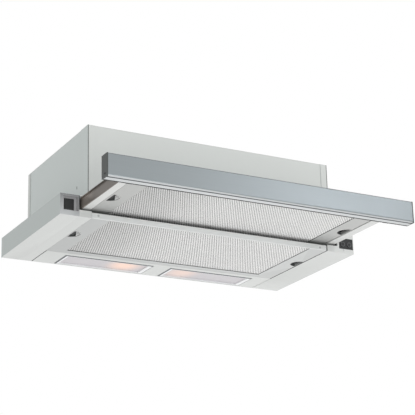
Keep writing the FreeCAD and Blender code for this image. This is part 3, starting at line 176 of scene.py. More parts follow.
@functools.cache
def soft_spot() -> bpy.types.NodeTree:
    """Build the shared group that makes a soft round mask about a point.

    Returns:
        Group whose output is 1 at the point and 0 outside the reach.
    """
    group = bpy.data.node_groups.new("soft spot", "ShaderNodeTree")
    sheet = NodeSheet(group)
    for name in ("Vector", "Middle", "Reach"):
        group.interface.new_socket(name, in_out="INPUT", socket_type="NodeSocketVector")
    group.interface.new_socket("Mask", in_out="OUTPUT", socket_type="NodeSocketFloat")
    given = sheet.put("NodeGroupInput").outputs
    offset = sheet.put("VectorMath", {0: given["Vector"], 1: given["Middle"]}, operation="SUBTRACT")
    share = sheet.put("VectorMath", {0: offset.outputs[0], 1: given["Reach"]}, operation="DIVIDE")
    length = sheet.put("VectorMath", {0: share.outputs[0]}, operation="LENGTH")
    mask = sheet.put("MapRange", {"Value": length.outputs["Value"], "From Min": 0.0, "From Max": 1.0,
                                  "To Min": 1.0, "To Max": 0.0}, interpolation_type="SMOOTHERSTEP")
    sheet.put("NodeGroupOutput", {"Mask": mask.outputs[0]})
    return group


# Finishes

EVEN = (1.0, 1.0, 1.0)


@dataclass(frozen=True)
class Finish:
    """A surface finish: its colour and gloss, a broad mottle and a fine grain with relief."""

    name: str
    colour: Level
    roughness: float
    metallic: float = 0.0
    mottle_scale: float = 7.0
    mottle: float = 0.02
    grain_scale: float = 900.0
    grain: float = 0.02
    stretch: Triple = EVEN
    spread: float = 0.05
    relief: float = 0.02
    bump: float = 0.25
    specular: float = 0.5

    @functools.cache
    def material(self) -> bpy.types.Material:
        """Build the finish's node material once.

        Returns:
            The material.
        """
        item = bpy.data.materials.new(self.name)
        item.use_nodes = True
        item.diffuse_color = tone(self.colour)
        sheet = NodeSheet(item.node_tree)
        vector = sheet.put("TexCoord").outputs["Object"]
        colour, gloss = self.paint(sheet, vector), self.roughness
        for stretch, scale, detail, shade in ((EVEN, self.mottle_scale, 3.0, self.mottle),
                                              (self.stretch, self.grain_scale, 2.0, self.grain)):
            layer = sheet.put("Group", {
                "Vector": vector, "Stretch": stretch, "Scale": scale, "Detail": detail, "Colour": colour,
                "Shade": shade, "Roughness": gloss, "Spread": self.spread}, node_tree=grained_surface()).outputs
            colour, gloss = layer["Colour"], layer["Roughness"]
        bump = sheet.put("Bump", {"Strength": self.bump, "Distance": self.relief * MM,
                                  "Height": self.height(sheet, vector, layer["Height"])})
        shader = sheet.put("BsdfPrincipled", {
            "Base Color": colour, "Roughness": gloss, "Metallic": self.metallic,
            "Specular IOR Level": self.specular, "Normal": bump.outputs["Normal"]})
        self.extras(sheet, vector, shader)
        sheet.put("OutputMaterial", {"Surface": shader.outputs[0]})
        return item

    def paint(self, sheet: NodeSheet, vector: Socket) -> object:
        """Give the colour that the mottle starts from."""
        return tone(self.colour)

    def height(self, sheet: NodeSheet, vector: Socket, grain: Socket) -> object:
        """Give the relief that the bump follows."""
        return grain

    def extras(self, sheet: NodeSheet, vector: Socket, shader: bpy.types.Node) -> None:
        """Add what only this kind of finish has."""


@dataclass(frozen=True)
class ShadedFinish(Finish):
    """A finish with painted shade: it turns to a second colour along one axis."""

    second: Level = (0, 0, 0)
    axis: str = "Z"
    start: float = 0.0
    end: float = 1.0

    def paint(self, sheet: NodeSheet, vector: Socket) -> object:
        """Mix the second colour in from the start to the end."""
        at = sheet.put("SeparateXYZ", {0: vector}).outputs[self.axis]
        share = sheet.put("MapRange", {"Value": at, "From Min": self.start, "From Max": self.end}).outputs[0]
        return sheet.blend(share, tone(self.colour), tone(self.second))


@dataclass(frozen=True)
class LampDiffuser(Finish):
    """Frosted lamp cover with fine ribs and a painted glow over its lamp."""

    glow: Level = (255, 165, 60)
    strength: float = 0.5
    middle: Triple = (0.0, 0.0, 0.0)
    reach: Triple = (0.05, 0.05, 0.1)
    rib_scale: float = 150.0

    def height(self, sheet: NodeSheet, vector: Socket, grain: Socket) -> object:
        """Run fine ribs along the cover."""
        ribs = sheet.put("TexWave", {"Vector": vector, "Scale": self.rib_scale, "Distortion": 0.0},
                         bands_direction="Y")
        return sheet.sums("ADD", ribs.outputs["Fac"], grain)

    def extras(self, sheet: NodeSheet, vector: Socket, shader: bpy.types.Node) -> None:
        """Paint the lamp's glow on the cover as emission in a soft spot."""
        spot = sheet.put("Group", {"Vector": vector, "Middle": self.middle, "Reach": self.reach},
                         node_tree=soft_spot())
        light = sheet.put("VectorMath", {0: tone(self.glow)[:3], "Scale": spot.outputs["Mask"]}, operation="SCALE")
        sheet.tree.links.new(light.outputs[0], shader.inputs["Emission Color"])
        shader.inputs["Emission Strength"].default_value = self.strength


@dataclass(frozen=True)
class WireCloth(Finish):
    """Layers of fine woven aluminium, with their weave in colour and relief."""

    weave_scale: float = 260.0
    hole: Level = (40, 42, 43)
    hole_share: float = 0.4

    def paint(self, sheet: NodeSheet, vector: Socket) -> object:
        """Darken the holes between the wires."""
        waves = [sheet.put("TexWave", {"Vector": vector, "Scale": self.weave_scale}, bands_direction=way)
                 for way in ("X", "Y")]
        wires = sheet.sums("MAXIMUM", waves[0].outputs["Fac"], waves[1].outputs["Fac"])
        share = sheet.sums("MULTIPLY_ADD", wires, 1.0 - self.hole_share, self.hole_share)
        return sheet.blend(share, tone(self.hole), tone(self.colour))


@dataclass(frozen=True)
class ExpandedMetal(Finish):
    """Bright twisted strands, with painted shade on their deeper edges and towards the left."""

    low: float = 0.0
    high: float = 1.0
    # painted shade: the colours of the strands' deeper edges and of their left end, and where that left shade fades
    recess: Level = (120, 121, 120)
    soiled: Level = (230, 230, 229)
    clean_from: tuple[float, float] = (-200.0 * MM, -40.0 * MM)

    def paint(self, sheet: NodeSheet, vector: Socket) -> object:
        """Paint shade on the strands towards their deeper edges, and a little towards the left."""
        at = sheet.put("SeparateXYZ", {0: vector}).outputs
        start, end = self.clean_from
        along = sheet.put("MapRange", {"Value": at["X"], "From Min": start, "From Max": end},
                          interpolation_type="SMOOTHSTEP").outputs[0]
        strand = sheet.blend(along, tone(self.soiled), tone(self.colour))
        share = sheet.put("MapRange", {"Value": at["Z"], "From Min": self.low, "From Max": self.high}).outputs[0]
        return sheet.blend(share, strand, tone(self.recess))


@dataclass(frozen=True)
class ClearGlass(Finish):
    """Glass of a lamp."""

    clearness: float = 0.9

    def extras(self, sheet: NodeSheet, vector: Socket, shader: bpy.types.Node) -> None:
        """Let light through."""
        shader.inputs["Transmission Weight"].default_value = self.clearness


PAINTED = {"grain_scale": 1300.0, "grain": 0.012, "relief": 0.03, "bump": 0.2}
BRUSHED = {"mottle": 0.01, "grain_scale": 420.0, "stretch": (0.02, 1.0, 1.0), "bump": 0.15}

PAINT = Finish("grey painted steel", (204, 206, 204), 0.46, mottle_scale=5.0, mottle=0.012, **PAINTED)
PAINT_COOL = Finish("grey painted steel, box", (203, 206, 203), 0.5, mottle_scale=4.0, mottle=0.015, **PAINTED)
# Painted light: the box sides are a cooler tinted copy of the box paint, for the cool light that falls on them.
PAINT_SIDE_LIT = replace(PAINT_COOL, name="grey painted steel, box sides", colour=(199, 206, 204))
# Painted shade: the base's outer walls are a darker copy of the paint.
PAINT_WALL_SHADED = replace(PAINT, name="grey painted steel, outer walls", colour=(181, 188, 186))
# Painted shade: a thin dark line along the corner angles' rounded front edge.
PAINT_EDGE_SHADE = replace(PAINT, name="grey painted steel, folded edge", colour=(104, 109, 107))
# Painted shade: the left front face darkens towards the top, as in the shade of the drawer above it.
PAINT_FACE_SHADED = ShadedFinish("grey painted steel, left front face", (186, 189, 190), 0.46, mottle_scale=5.0,
                          mottle=0.012, **PAINTED, second=(120, 122, 123), end=36.0 * MM)
BAR_FACE = Finish("brushed bar face", (136, 142, 144), 0.34, metallic=0.85, mottle_scale=3.0, grain=0.035, **BRUSHED)
# Painted shade: a dark line along the bar's rounded top rim.
BAR_RIM_SHADE = Finish("dark bar rim", (84, 89, 92), 0.4, metallic=0.7, grain=0.03, **BRUSHED)
# Painted light: the bar's bead and underside are a brighter copy of its metal.
BAR_UNDERSIDE_LIT = Finish("bright bar edge", (194, 197, 198), 0.42, metallic=0.4, grain=0.03, **BRUSHED)
BAR_GROOVE = Finish("bar shadow groove", (112, 115, 117), 0.6, grain=0.05, specular=0.2)
FILTER_SHEET = Finish("filter sheet", (177, 179, 178), 0.42, metallic=0.3, mottle_scale=16.0, grain_scale=600.0,
                      stretch=(0.1, 1.0, 1.0))
# Painted shade and light: the drawer frame is a darker copy of the filter sheet, the fixed frame's right end a lighter
# one.
FILTER_SHEET_SHADED = replace(FILTER_SHEET, name="filter sheet, drawer", colour=(174, 175, 173))
FILTER_SHEET_LIT = replace(FILTER_SHEET, name="filter sheet, lamp side", colour=(183, 185, 184))
# Painted light in the finger cups, and painted shade on their lower edge.
CUP_LIT = Finish("bright finger cup", (250, 251, 250), 0.4, mottle_scale=40.0, mottle=0.01)
CUP_EDGE_SHADE = Finish("finger cup edge", (120, 122, 121), 0.5, metallic=0.2, mottle_scale=40.0)
# Painted light: the frames' rounded front edge is a lighter copy of the sheet.
FILTER_FRONT_LIT = Finish("filter front edge", (219, 221, 220), 0.4, metallic=0.2, mottle_scale=16.0)
# Painted shade: a dark grey for seams, gaps, slots and edges where shade falls.
SEAM_SHADE = Finish("shaded seam", (78, 80, 80), 0.6, grain=0.05, specular=0.2)
# Painted shade: the woven layers are painted dark, for the shade behind the expanded mesh.
LAYERS_SHADED = WireCloth("woven filter layers", (58, 60, 61), 0.6, metallic=0.2, bump=0.4, specular=0.2)
RAIL_FACE = Finish("painted rail", (209, 210, 208), 0.45, mottle=0.012, grain=0.012)
RIVET = Finish("flat rivet", (182, 184, 184), 0.45, metallic=0.3, grain=0.03)
# Painted shade and warm reflection on the rails' outer track, dark near the bar and turning lighter towards the base
# to offset the shade there.
RAIL_TRACK_SHADE = ShadedFinish("greased rail track", (101, 95, 89), 0.35, metallic=0.5, mottle_scale=22.0, mottle=0.08,
                          grain_scale=500.0, stretch=(1.0, 0.05, 1.0), grain=0.05,
                          second=(165, 156, 147), axis="Y", start=-335.0 * MM, end=-283.0 * MM)
ZINC = Finish("zinc plate", (176, 180, 182), 0.38, metallic=0.8, mottle_scale=90.0, mottle=0.06,
              grain_scale=300.0, grain=0.05)
CAP_GREY = Finish("grey moulded cap", (57, 62, 60), 0.5, grain_scale=1800.0, grain=0.04, bump=0.3)
BLACK = Finish("black moulding", (35, 36, 37), 0.45, mottle=0.03, grain_scale=1800.0, grain=0.05, bump=0.3,
               specular=0.35)
LATCH_BLACK = Finish("black latch", (38, 38, 39), 0.4, mottle=0.03, grain_scale=1500.0, grain=0.05, specular=0.3)
# Painted highlight: a lighter copy of the black on the speed buttons' rims.
BUTTON_RIM_GLINT = replace(BLACK, name="black moulding, worn rim", colour=(96, 98, 99))
# Painted shade: dark strips along the lamp covers' left and front edges, where the recess shades them.
COVER_SHADE = Finish("grey cover gasket", (100, 103, 106), 0.6, grain=0.04, specular=0.2)
POCKET = Finish("grey pocket moulding", (188, 188, 189), 0.55, grain_scale=1600.0, grain=0.04)
DUCT = Finish("black duct collar", (52, 54, 56), 0.42, mottle=0.03, grain_scale=1400.0, grain=0.05)
# Painted light: the covers' rim is a brighter copy of their plastic, as the lit edge of the recess.
COVER_RIM_LIT = Finish("white cover rim", (232, 233, 234), 0.45, grain_scale=1500.0)
WHITE = Finish("white moulding", (214, 215, 212), 0.5, grain_scale=1500.0, grain=0.03)
HOUSING = Finish("grey blower moulding", (112, 116, 118), 0.55, mottle=0.03, grain_scale=1200.0, grain=0.05)
MOTOR = Finish("cast motor shell", (120, 122, 122), 0.5, metallic=0.6, mottle_scale=40.0, mottle=0.06,
               grain_scale=700.0, grain=0.06)
NICKEL = Finish("lamp cap nickel", (190, 182, 160), 0.3, metallic=0.9, grain_scale=500.0)
CAN = Finish("capacitor can", (188, 192, 194), 0.35, metallic=0.8, grain_scale=400.0, stretch=(0.05, 1.0, 1.0))
RUBBER = Finish("buffer rubber", (52, 52, 52), 0.8, grain_scale=1500.0, grain=0.08, bump=0.5, specular=0.2)
GLASS = ClearGlass("lamp glass", (250, 244, 232), 0.08, grain=0.0, mottle=0.0)


# Bench: modelling by hand, in code


def clear_selection() -> None:
    """Deselect every object, the CAD nodes among them."""
    if bpy.context.mode != "OBJECT":
        bpy.ops.object.mode_set(mode="OBJECT")
    bpy.ops.object.select_all(action="DESELECT")


def hold(piece: Piece) -> None:
    """Make one object the only selected and active one.

    Args:
        piece: the object.
    """
    clear_selection()
    piece.select_set(True)
    bpy.context.view_layer.objects.active = piece


@contextmanager
def editing(piece: Piece) -> Iterator[None]:
    """Open an object in edit mode with all of it selected, and close it again.

    Args:
        piece: the object.
    """
    hold(piece)
    bpy.ops.object.mode_set(mode="EDIT")
    bpy.ops.mesh.select_mode(type="VERT")
    bpy.ops.mesh.select_all(action="SELECT")
    try:
        yield
    finally:
        bpy.ops.object.mode_set(mode="OBJECT")


def pick(what: Pick, test: Test) -> None:
    """Select only what passes a test, in edit mode.

    Args:
        what: corners, edges or faces.
        test: takes the middle of each and its normal, or an edge's direction.
    """
    bpy.ops.mesh.select_mode(type=what.value)
    bpy.ops.mesh.select_all(action="DESELECT")
    mesh = bmesh.from_edit_mesh(bpy.context.edit_object.data)
    if what is Pick.CORNERS:
        for corner in mesh.verts:
            corner.select_set(test(corner.co, corner.normal))
    elif what is Pick.EDGES:
        for edge in mesh.edges:
            start, end = (corner.co for corner in edge.verts)
            edge.select_set(test((start + end) / 2, (end - start).normalized()))
    else:
        for face in mesh.faces:
            face.select_set(test(face.calc_center_median(), face.normal))
    mesh.select_flush_mode()
    bmesh.update_edit_mesh(bpy.context.edit_object.data)


def draw_out(move: Triple) -> None:
    """Extrude the selected faces, in edit mode."""
    bpy.ops.mesh.extrude_region_move(TRANSFORM_OT_translate={"value": move})


def laid(piece: Piece) -> Piece:
    """Lay an object's place, turn and scale into its mesh.

    Args:
        piece: the object.

    Returns:
        The same object, at the origin.
    """
    hold(piece)
    bpy.ops.object.transform_apply(location=True, rotation=True, scale=True)
    return piece


def named(name: str) -> Piece:
    """Name the active new primitive and lay its place into its mesh.

    Args:
        name: name of the piece.

    Returns:
        The primitive.
    """
    piece = bpy.context.view_layer.objects.active
    piece.name = piece.data.name = name
    return laid(piece)


def block(name: str, low: Sequence[float], high: Sequence[float]) -> Piece:
    """Add a box between two corners.

    Args:
        name: name of the piece.
        low: lowest corner.
        high: highest corner.

    Returns:
        The box, ready to shape.
    """
    clear_selection()
    low, high = Vector(low), Vector(high)
    bpy.ops.mesh.primitive_cube_add(size=1, location=(low + high) / 2, scale=high - low)
    return named(name)


def rod(name: str, start: Sequence[float], end: Sequence[float], radius: float, sides: int) -> Piece:
    """Add a cylinder between two points.

    Args:
        name: name of the piece.
        start: middle of its first end.
        end: middle of its other end.
        radius: its radius.
        sides: faces around it.

    Returns:
        The cylinder, ready to shape.
    """
    clear_selection()
    start, end = Vector(start), Vector(end)
    way = end - start
    turn = way.to_track_quat("Z", "Y").to_euler()
    bpy.ops.mesh.primitive_cylinder_add(vertices=sides, radius=radius, depth=way.length,
                                        location=(start + end) / 2, rotation=turn)
    return named(name)


def modified(piece: Piece, kind: str, **settings: object) -> Piece:
    """Add one modifier to a piece and apply it.

    Args:
        piece: the object.
        kind: the modifier's type.
        settings: its properties.

    Returns:
        The same object.
    """
    hold(piece)
    item = piece.modifiers.new(kind.lower(), kind)
    for name, value in settings.items():
        setattr(item, name, value)
    bpy.ops.object.modifier_apply(modifier=item.name)
    return piece


def rounded(piece: Piece, radius: float, segments: int = 2, angle: float = 40.0) -> Piece:
    """Round the sharp edges of a piece and shade it smooth up to them.

    Args:
        piece: the object.
        radius: how round the edges are.
        segments: faces across each edge.
        angle: least angle in degrees between the faces of a sharp edge.

    Returns:
        The same object.
    """
    modified(piece, "BEVEL", width=radius, segments=segments, limit_method="ANGLE",
             angle_limit=math.radians(angle), use_clamp_overlap=True)
    hold(piece)
    bpy.ops.object.shade_smooth_by_angle(angle=math.radians(32))
    return modified(piece, "WEIGHTED_NORMAL", keep_sharp=True, weight=90)


def scored(piece: Piece, *cuts: tuple[str, float], trim: bool = False) -> Piece:
    """Score a piece's faces along planes, without parting it.

    Args:
        piece: the object.
        cuts: the axis that each plane crosses, and where.
        trim: take away what lies beyond the planes.

    Returns:
        The same object.
    """
    with editing(piece):
        for axis, at in cuts:
            way = Vector([float(axis == name) for name in "XYZ"])
            bpy.ops.mesh.select_all(action="SELECT")
            bpy.ops.mesh.bisect(plane_co=way * at, plane_no=way, clear_outer=trim)
    return piece


def shifted(piece: Piece, test: Test, move: Triple) -> None:
    """Move the corners whose place and normal pass a test."""
    with editing(piece):
        pick(Pick.CORNERS, test)
        bpy.ops.transform.translate(value=move)


def joined(name: str, pieces: Sequence[Piece]) -> Piece:
    """Join several objects into one mesh.

    Args:
        name: name of the piece.
        pieces: the objects.

    Returns:
        The first object, which now holds them all.
    """
    clear_selection()
    for piece in pieces:
        piece.select_set(True)
    bpy.context.view_layer.objects.active = pieces[0]
    bpy.ops.object.join()
    pieces[0].name = pieces[0].data.name = name
    return pieces[0]


def node_copy(node: str) -> Piece:
    """Copy the mesh of a CAD node, with its loose triangles merged into whole faces.

    Args:
        node: name of the node.

    Returns:
        The copy, with no finish.
    """
    piece = bpy.data.objects.new(f"{node}_shell", frame["nodes"][node].data.copy())
    bpy.context.scene.collection.objects.link(piece)
    piece.data.materials.clear()
    with editing(piece):
        bpy.ops.mesh.remove_doubles(threshold=0.002 * MM)
        bpy.ops.mesh.dissolve_limited(angle_limit=math.radians(0.4))
        bpy.ops.mesh.customdata_custom_splitnormals_clear()
    return piece


def patched(piece: Piece, finish: Finish, test: Test) -> None:
    """Give the faces that pass a test a finish of their own.

    Args:
        piece: the object.
        finish: the finish of these faces.
        test: takes a face's middle and normal.
    """
    piece.data.materials.append(finish.material())
    index = len(piece.data.materials) - 1
    for face in piece.data.polygons:
        if test(face.center, face.normal):
            face.material_index = index


def dressed(piece: Piece, finish: Finish) -> Piece:
    """Give a whole piece one finish.

    Args:
        piece: the object.
        finish: its finish.

    Returns:
        The same object.
    """
    piece.data.materials.clear()
    piece.data.materials.append(finish.material())
    return piece


BODY_OF_NODE = {node: body for body, nodes in frame["record"]["behaviour"]["bodies"].items() for node in nodes}


def settled(piece: Piece, node: str, replaces: bool = True) -> Piece:
    """Hang a finished piece on the body of a node.

    Args:
        piece: the finished piece.
        node: CAD node that it stands for, or that only carries it.
        replaces: whether it stands for the node.

    Returns:
        The same piece.
    """
    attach(piece, BODY_OF_NODE[node])
    if replaces:
        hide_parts(node)
    link = "stands for" if replaces else "sits on"
    log.info("%s: %d faces, %s %s", piece.name, len(piece.data.polygons), link, node)
    return piece


def eased(node: str, finish: Finish, radius: float = 0.3 * MM, segments: int = 2) -> Piece:
    """Replace a node by its own shape with rounded edges."""
    return settled(dressed(rounded(node_copy(node), radius, segments), finish), node)


def coated(finish: Finish, *nodes: str) -> None:
    """Give CAD nodes that stay as they are a finish.

    Args:
        finish: the finish.
        nodes: names of the nodes.
    """
    for node in nodes:
        slots = frame["nodes"][node].data.materials
        slots.clear()
        slots.append(finish.material())
        log.info("%s: kept, %s", node, finish.name)


# The studio


@dataclass
class SoftLamp:
    """A square studio lamp."""

    name: str
    place: Triple
    aim: Triple
    width: float
    power: float
    colour: Triple = EVEN

    def hang(self) -> None:
        """Add the lamp, turned to its aim."""
        light = bpy.data.lights.new(self.name, "AREA")
        light.size = self.width
        light.energy = self.power
        light.color = self.colour
        item = bpy.data.objects.new(self.name, light)
        way = Vector(self.aim) - Vector(self.place)
        item.matrix_world = Matrix.Translation(self.place) @ way.to_track_quat("-Z", "Y").to_matrix().to_4x4()
        bpy.context.scene.collection.objects.link(item)


@dataclass
class Studio:
    """Camera, white surroundings, lamps and the floor."""

    eye: Triple = (-1.1799, -2.4128, -0.7691)
    yaw: float = 28.71
    pitch: float = 18.65
    roll: float = -1.48
    lens: float = 123.5
    sensor: float = 36.0
    horizon: float = 0.3
    ambient_above: float = 0.7
    ambient_below: float = 0.84
    floor_size: float = 6.0
    floor_level: float = -0.5 * MM
    floor_shade: float = 0.9
    floor_mottle: float = 0.01
    floor_mottle_scale: float = 3.0
    lamps: tuple[SoftLamp, ...] = (
        SoftLamp("bar_glint", (1.83, -2.97, 1.05), (0.15, -0.47, 0.03), 0.3, 4.7, (0.98, 1.0, 1.05)),
        SoftLamp("front", (0.9, -1.9, 2.6), (0.0, -0.28, 0.05), 1.2, 30.8),
        SoftLamp("front_low", (0.2, -2.5, -0.9), (0.0, -0.28, 0.0), 1.2, 10.4),
        SoftLamp("under", (0.0, 0.2, -2.4), (0.0, -0.25, 0.0), 1.2, 7.4),
        SoftLamp("rear_right", (1.27, 1.70, -0.6), (0.0, -0.25, 0.0), 1.0, 2.1),
    )

    def camera(self) -> None:
        """Set the camera at the photographed viewing angle."""
        yaw, pitch, roll = (math.radians(angle) for angle in (self.yaw, self.pitch, self.roll))
        ahead = Vector((math.sin(yaw) * math.cos(pitch), math.cos(yaw) * math.cos(pitch), math.sin(pitch)))
        level = Vector((math.cos(yaw), -math.sin(yaw), 0.0))
        up = level.cross(ahead)
        right = level * math.cos(roll) + up * math.sin(roll)
        above = up * math.cos(roll) - level * math.sin(roll)
        data = bpy.data.cameras.new("camera")
        data.lens = self.lens
        data.sensor_width = self.sensor
        item = bpy.data.objects.new("camera", data)
        turn = Matrix((right, above, -ahead)).transposed().to_4x4()
        item.matrix_world = Matrix.Translation(self.eye) @ turn
        bpy.context.scene.collection.objects.link(item)
        bpy.context.scene.camera = item

    def surroundings(self) -> None:
        """Make the world white to the eye and in reflections, and softer as light."""
        world = bpy.data.worlds.new("white surroundings")
        world.use_nodes = True
        bpy.context.scene.world = world
        sheet = NodeSheet(world.node_tree)
        path = sheet.put("LightPath").outputs
        seen = path["Is Camera Ray"]
        for ray in ("Is Glossy Ray", "Is Transmission Ray"):
            seen = sheet.sums("MAXIMUM", seen, path[ray])
        way = sheet.put("SeparateXYZ", {0: sheet.put("TexCoord").outputs["Generated"]})
        ambient = sheet.put("MapRange", {
            "Value": way.outputs["Z"], "From Min": -self.horizon, "From Max": self.horizon,
            "To Min": self.ambient_below, "To Max": self.ambient_above}, interpolation_type="SMOOTHSTEP").outputs[0]
        strength = sheet.sums("MAXIMUM", seen, ambient)
        back = sheet.put("Background", {"Color": (1.0, 1.0, 1.0, 1.0), "Strength": strength})
        sheet.put("OutputWorld", {"Surface": back.outputs[0]})

    def floor(self) -> None:
        """Lay a pale floor that shows from above only."""
        clear_selection()
        bpy.ops.mesh.primitive_plane_add(size=self.floor_size, location=(0.0, 0.0, self.floor_level))
        plane = named("floor")
        item = bpy.data.materials.new("pale floor")
        item.use_nodes = True
        sheet = NodeSheet(item.node_tree)
        front = sheet.sums("SUBTRACT", 1.0, sheet.put("NewGeometry").outputs["Backfacing"])
        shown = sheet.sums("MULTIPLY", front, sheet.put("LightPath").outputs["Is Camera Ray"])
        clear = sheet.put("BsdfTransparent")
        noise = sheet.put("TexNoise", {"Scale": self.floor_mottle_scale})
        shade = sheet.sums("MULTIPLY_ADD", noise.outputs[0], self.floor_mottle, self.floor_shade)
        colour = sheet.put("CombineColor", dict.fromkeys(("Red", "Green", "Blue"), shade))
        pale = sheet.put("BsdfDiffuse", {"Color": colour.outputs[0]})
        mix = sheet.put("MixShader", {0: shown, 1: clear.outputs[0], 2: pale.outputs[0]})
        sheet.put("OutputMaterial", {"Surface": mix.outputs[0]})
        plane.data.materials.append(item)

    def build(self) -> None:
        """Set up the whole studio."""
        bpy.context.scene.view_settings.view_transform = "Standard"
        self.camera()
        self.surroundings()
        self.floor()
        for lamp in self.lamps:
            lamp.hang()
        log.info("studio: camera, surroundings, floor and %d lamps", len(self.lamps))


# Sub-assemblies


@dataclass
class Carcass:
    """Folded steel base and motor box."""

    rivet_radius: float = 2.0 * MM
    rivet_proud: float = 0.25 * MM
    rivets: tuple[tuple[float, float], ...] = ((-227.6 * MM, 5.7 * MM), (223.7 * MM, 4.4 * MM), (276.4 * MM, 5.4 * MM))
    front: float = -283.0 * MM
    outer_wall: float = 298.5 * MM
    opening: float = 241.0 * MM
    filter_rear: float = -73.0 * MM
    pocket_edge: float = 264.4 * MM
    seam_inner: float = 263.0 * MM
    seam_foot: float = 12.0 * MM
    seam_depth: float = 2.5 * MM
    edge_line: float = 1.8 * MM
    hanging_y: tuple[float, float] = (-250.0 * MM, -200.0 * MM)
    hanging_z: tuple[float, float] = (60.0 * MM, 80.0 * MM)

    def rivet(self, name: str, place: tuple[float, float]) -> Piece:
        """Set a small flat rivet on the front.

        Args:
            name: name of the piece.
            place: how far across and up it is.

        Returns:
            Its head.
        """
        x, z = place
        head = rod(name, (x, self.front + HAIR, z), (x, self.front - self.rivet_proud, z), self.rivet_radius, 20)
        return rounded(head, 1.2 * HAIR)

    def left_face(self, base: Piece) -> None:
        """Paint shade on the front of the base's left side, darker towards the top, and a dark line of painted shade
        beside the pocket.

        Args:
            base: left side of the base.
        """
        scored(base, ("X", -self.pocket_edge), ("X", -self.seam_inner), ("Z", self.seam_foot))
        # painted shade, darker towards the top, on the left front face
        patched(base, PAINT_FACE_SHADED, lambda at, way: way.y < -FACING and abs(at.x) > self.seam_inner - 10 * HAIR)
        # painted shade in a dark line beside the pocket and on the pocket's edge
        patched(base, SEAM_SHADE, lambda at, way: self.seam_inner - 20 * HAIR < abs(at.x) < self.pocket_edge
                and at.y < self.front + self.seam_depth and at.z > self.seam_foot + 5 * HAIR
                and (way.y < -FACING or way.x > FACING))

    def side(self, side: Side) -> None:
        """Dress one end of the base and the box.

        Args:
            side: the end.
        """
        base = eased(f"base_side_{side.word}", PAINT)
        # painted shade on the base's outer wall
        patched(base, PAINT_WALL_SHADED, lambda at, way: abs(way.x) > FACING and abs(at.x) > self.outer_wall)
        if side is Side.LEFT:
            self.left_face(base)
        else:
            scored(base, ("Y", self.filter_rear))
            # painted shade on the inner edge beside the lamp panel
            patched(base, SEAM_SHADE, lambda at, way: way.x < -FACING and abs(at.x) < self.opening
                    and at.y < self.filter_rear)
        # box side with its painted cool-light tint
        wall = eased(f"box_side_{side.word}", PAINT_SIDE_LIT)
        (front, rear), (bottom, top) = self.hanging_y, self.hanging_z
        # painted shade inside the hanging slot
        patched(wall, SEAM_SHADE, lambda at, way: abs(way.x) < 0.5 and front < at.y < rear and bottom < at.z < top)
        # Corner angle: a thin line of painted shade along its outer front edge.
        node = f"corner_angle_{side.word}"
        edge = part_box(node)[side is Side.RIGHT].x - self.edge_line * side.value
        angle = scored(eased(node, PAINT_SIDE_LIT), ("X", edge))
        patched(angle, PAINT_COOL, lambda at, way: way.y < -FACING)
        patched(angle, PAINT_EDGE_SHADE, lambda at, way: way.y < -FACING and (at.x - edge) * side.value > 0.0)
        runner = eased(f"drawer_runner_{side.word}", ZINC)
        # painted shade on the runner's front end
        patched(runner, SEAM_SHADE, lambda at, way: way.y < -0.5 and at.y < self.front + 5 * HAIR)

    def build(self) -> None:
        """Dress the base and the motor box."""
        for side in Side:
            self.side(side)
        for node in ("box_front_panel", "box_rear_panel", "box_top_panel"):
            eased(node, PAINT_COOL)
        eased("base_rear_panel", PAINT)
        left, right, control = self.rivets
        pair = joined("filter_edge_rivets", [self.rivet("rivet_left", left), self.rivet("rivet_right", right)])
        single = self.rivet("control_face_rivet", control)
        for piece, node in ((pair, "filter_frame_fixed"), (single, "base_side_right")):
            settled(dressed(piece, RIVET), node, replaces=False)


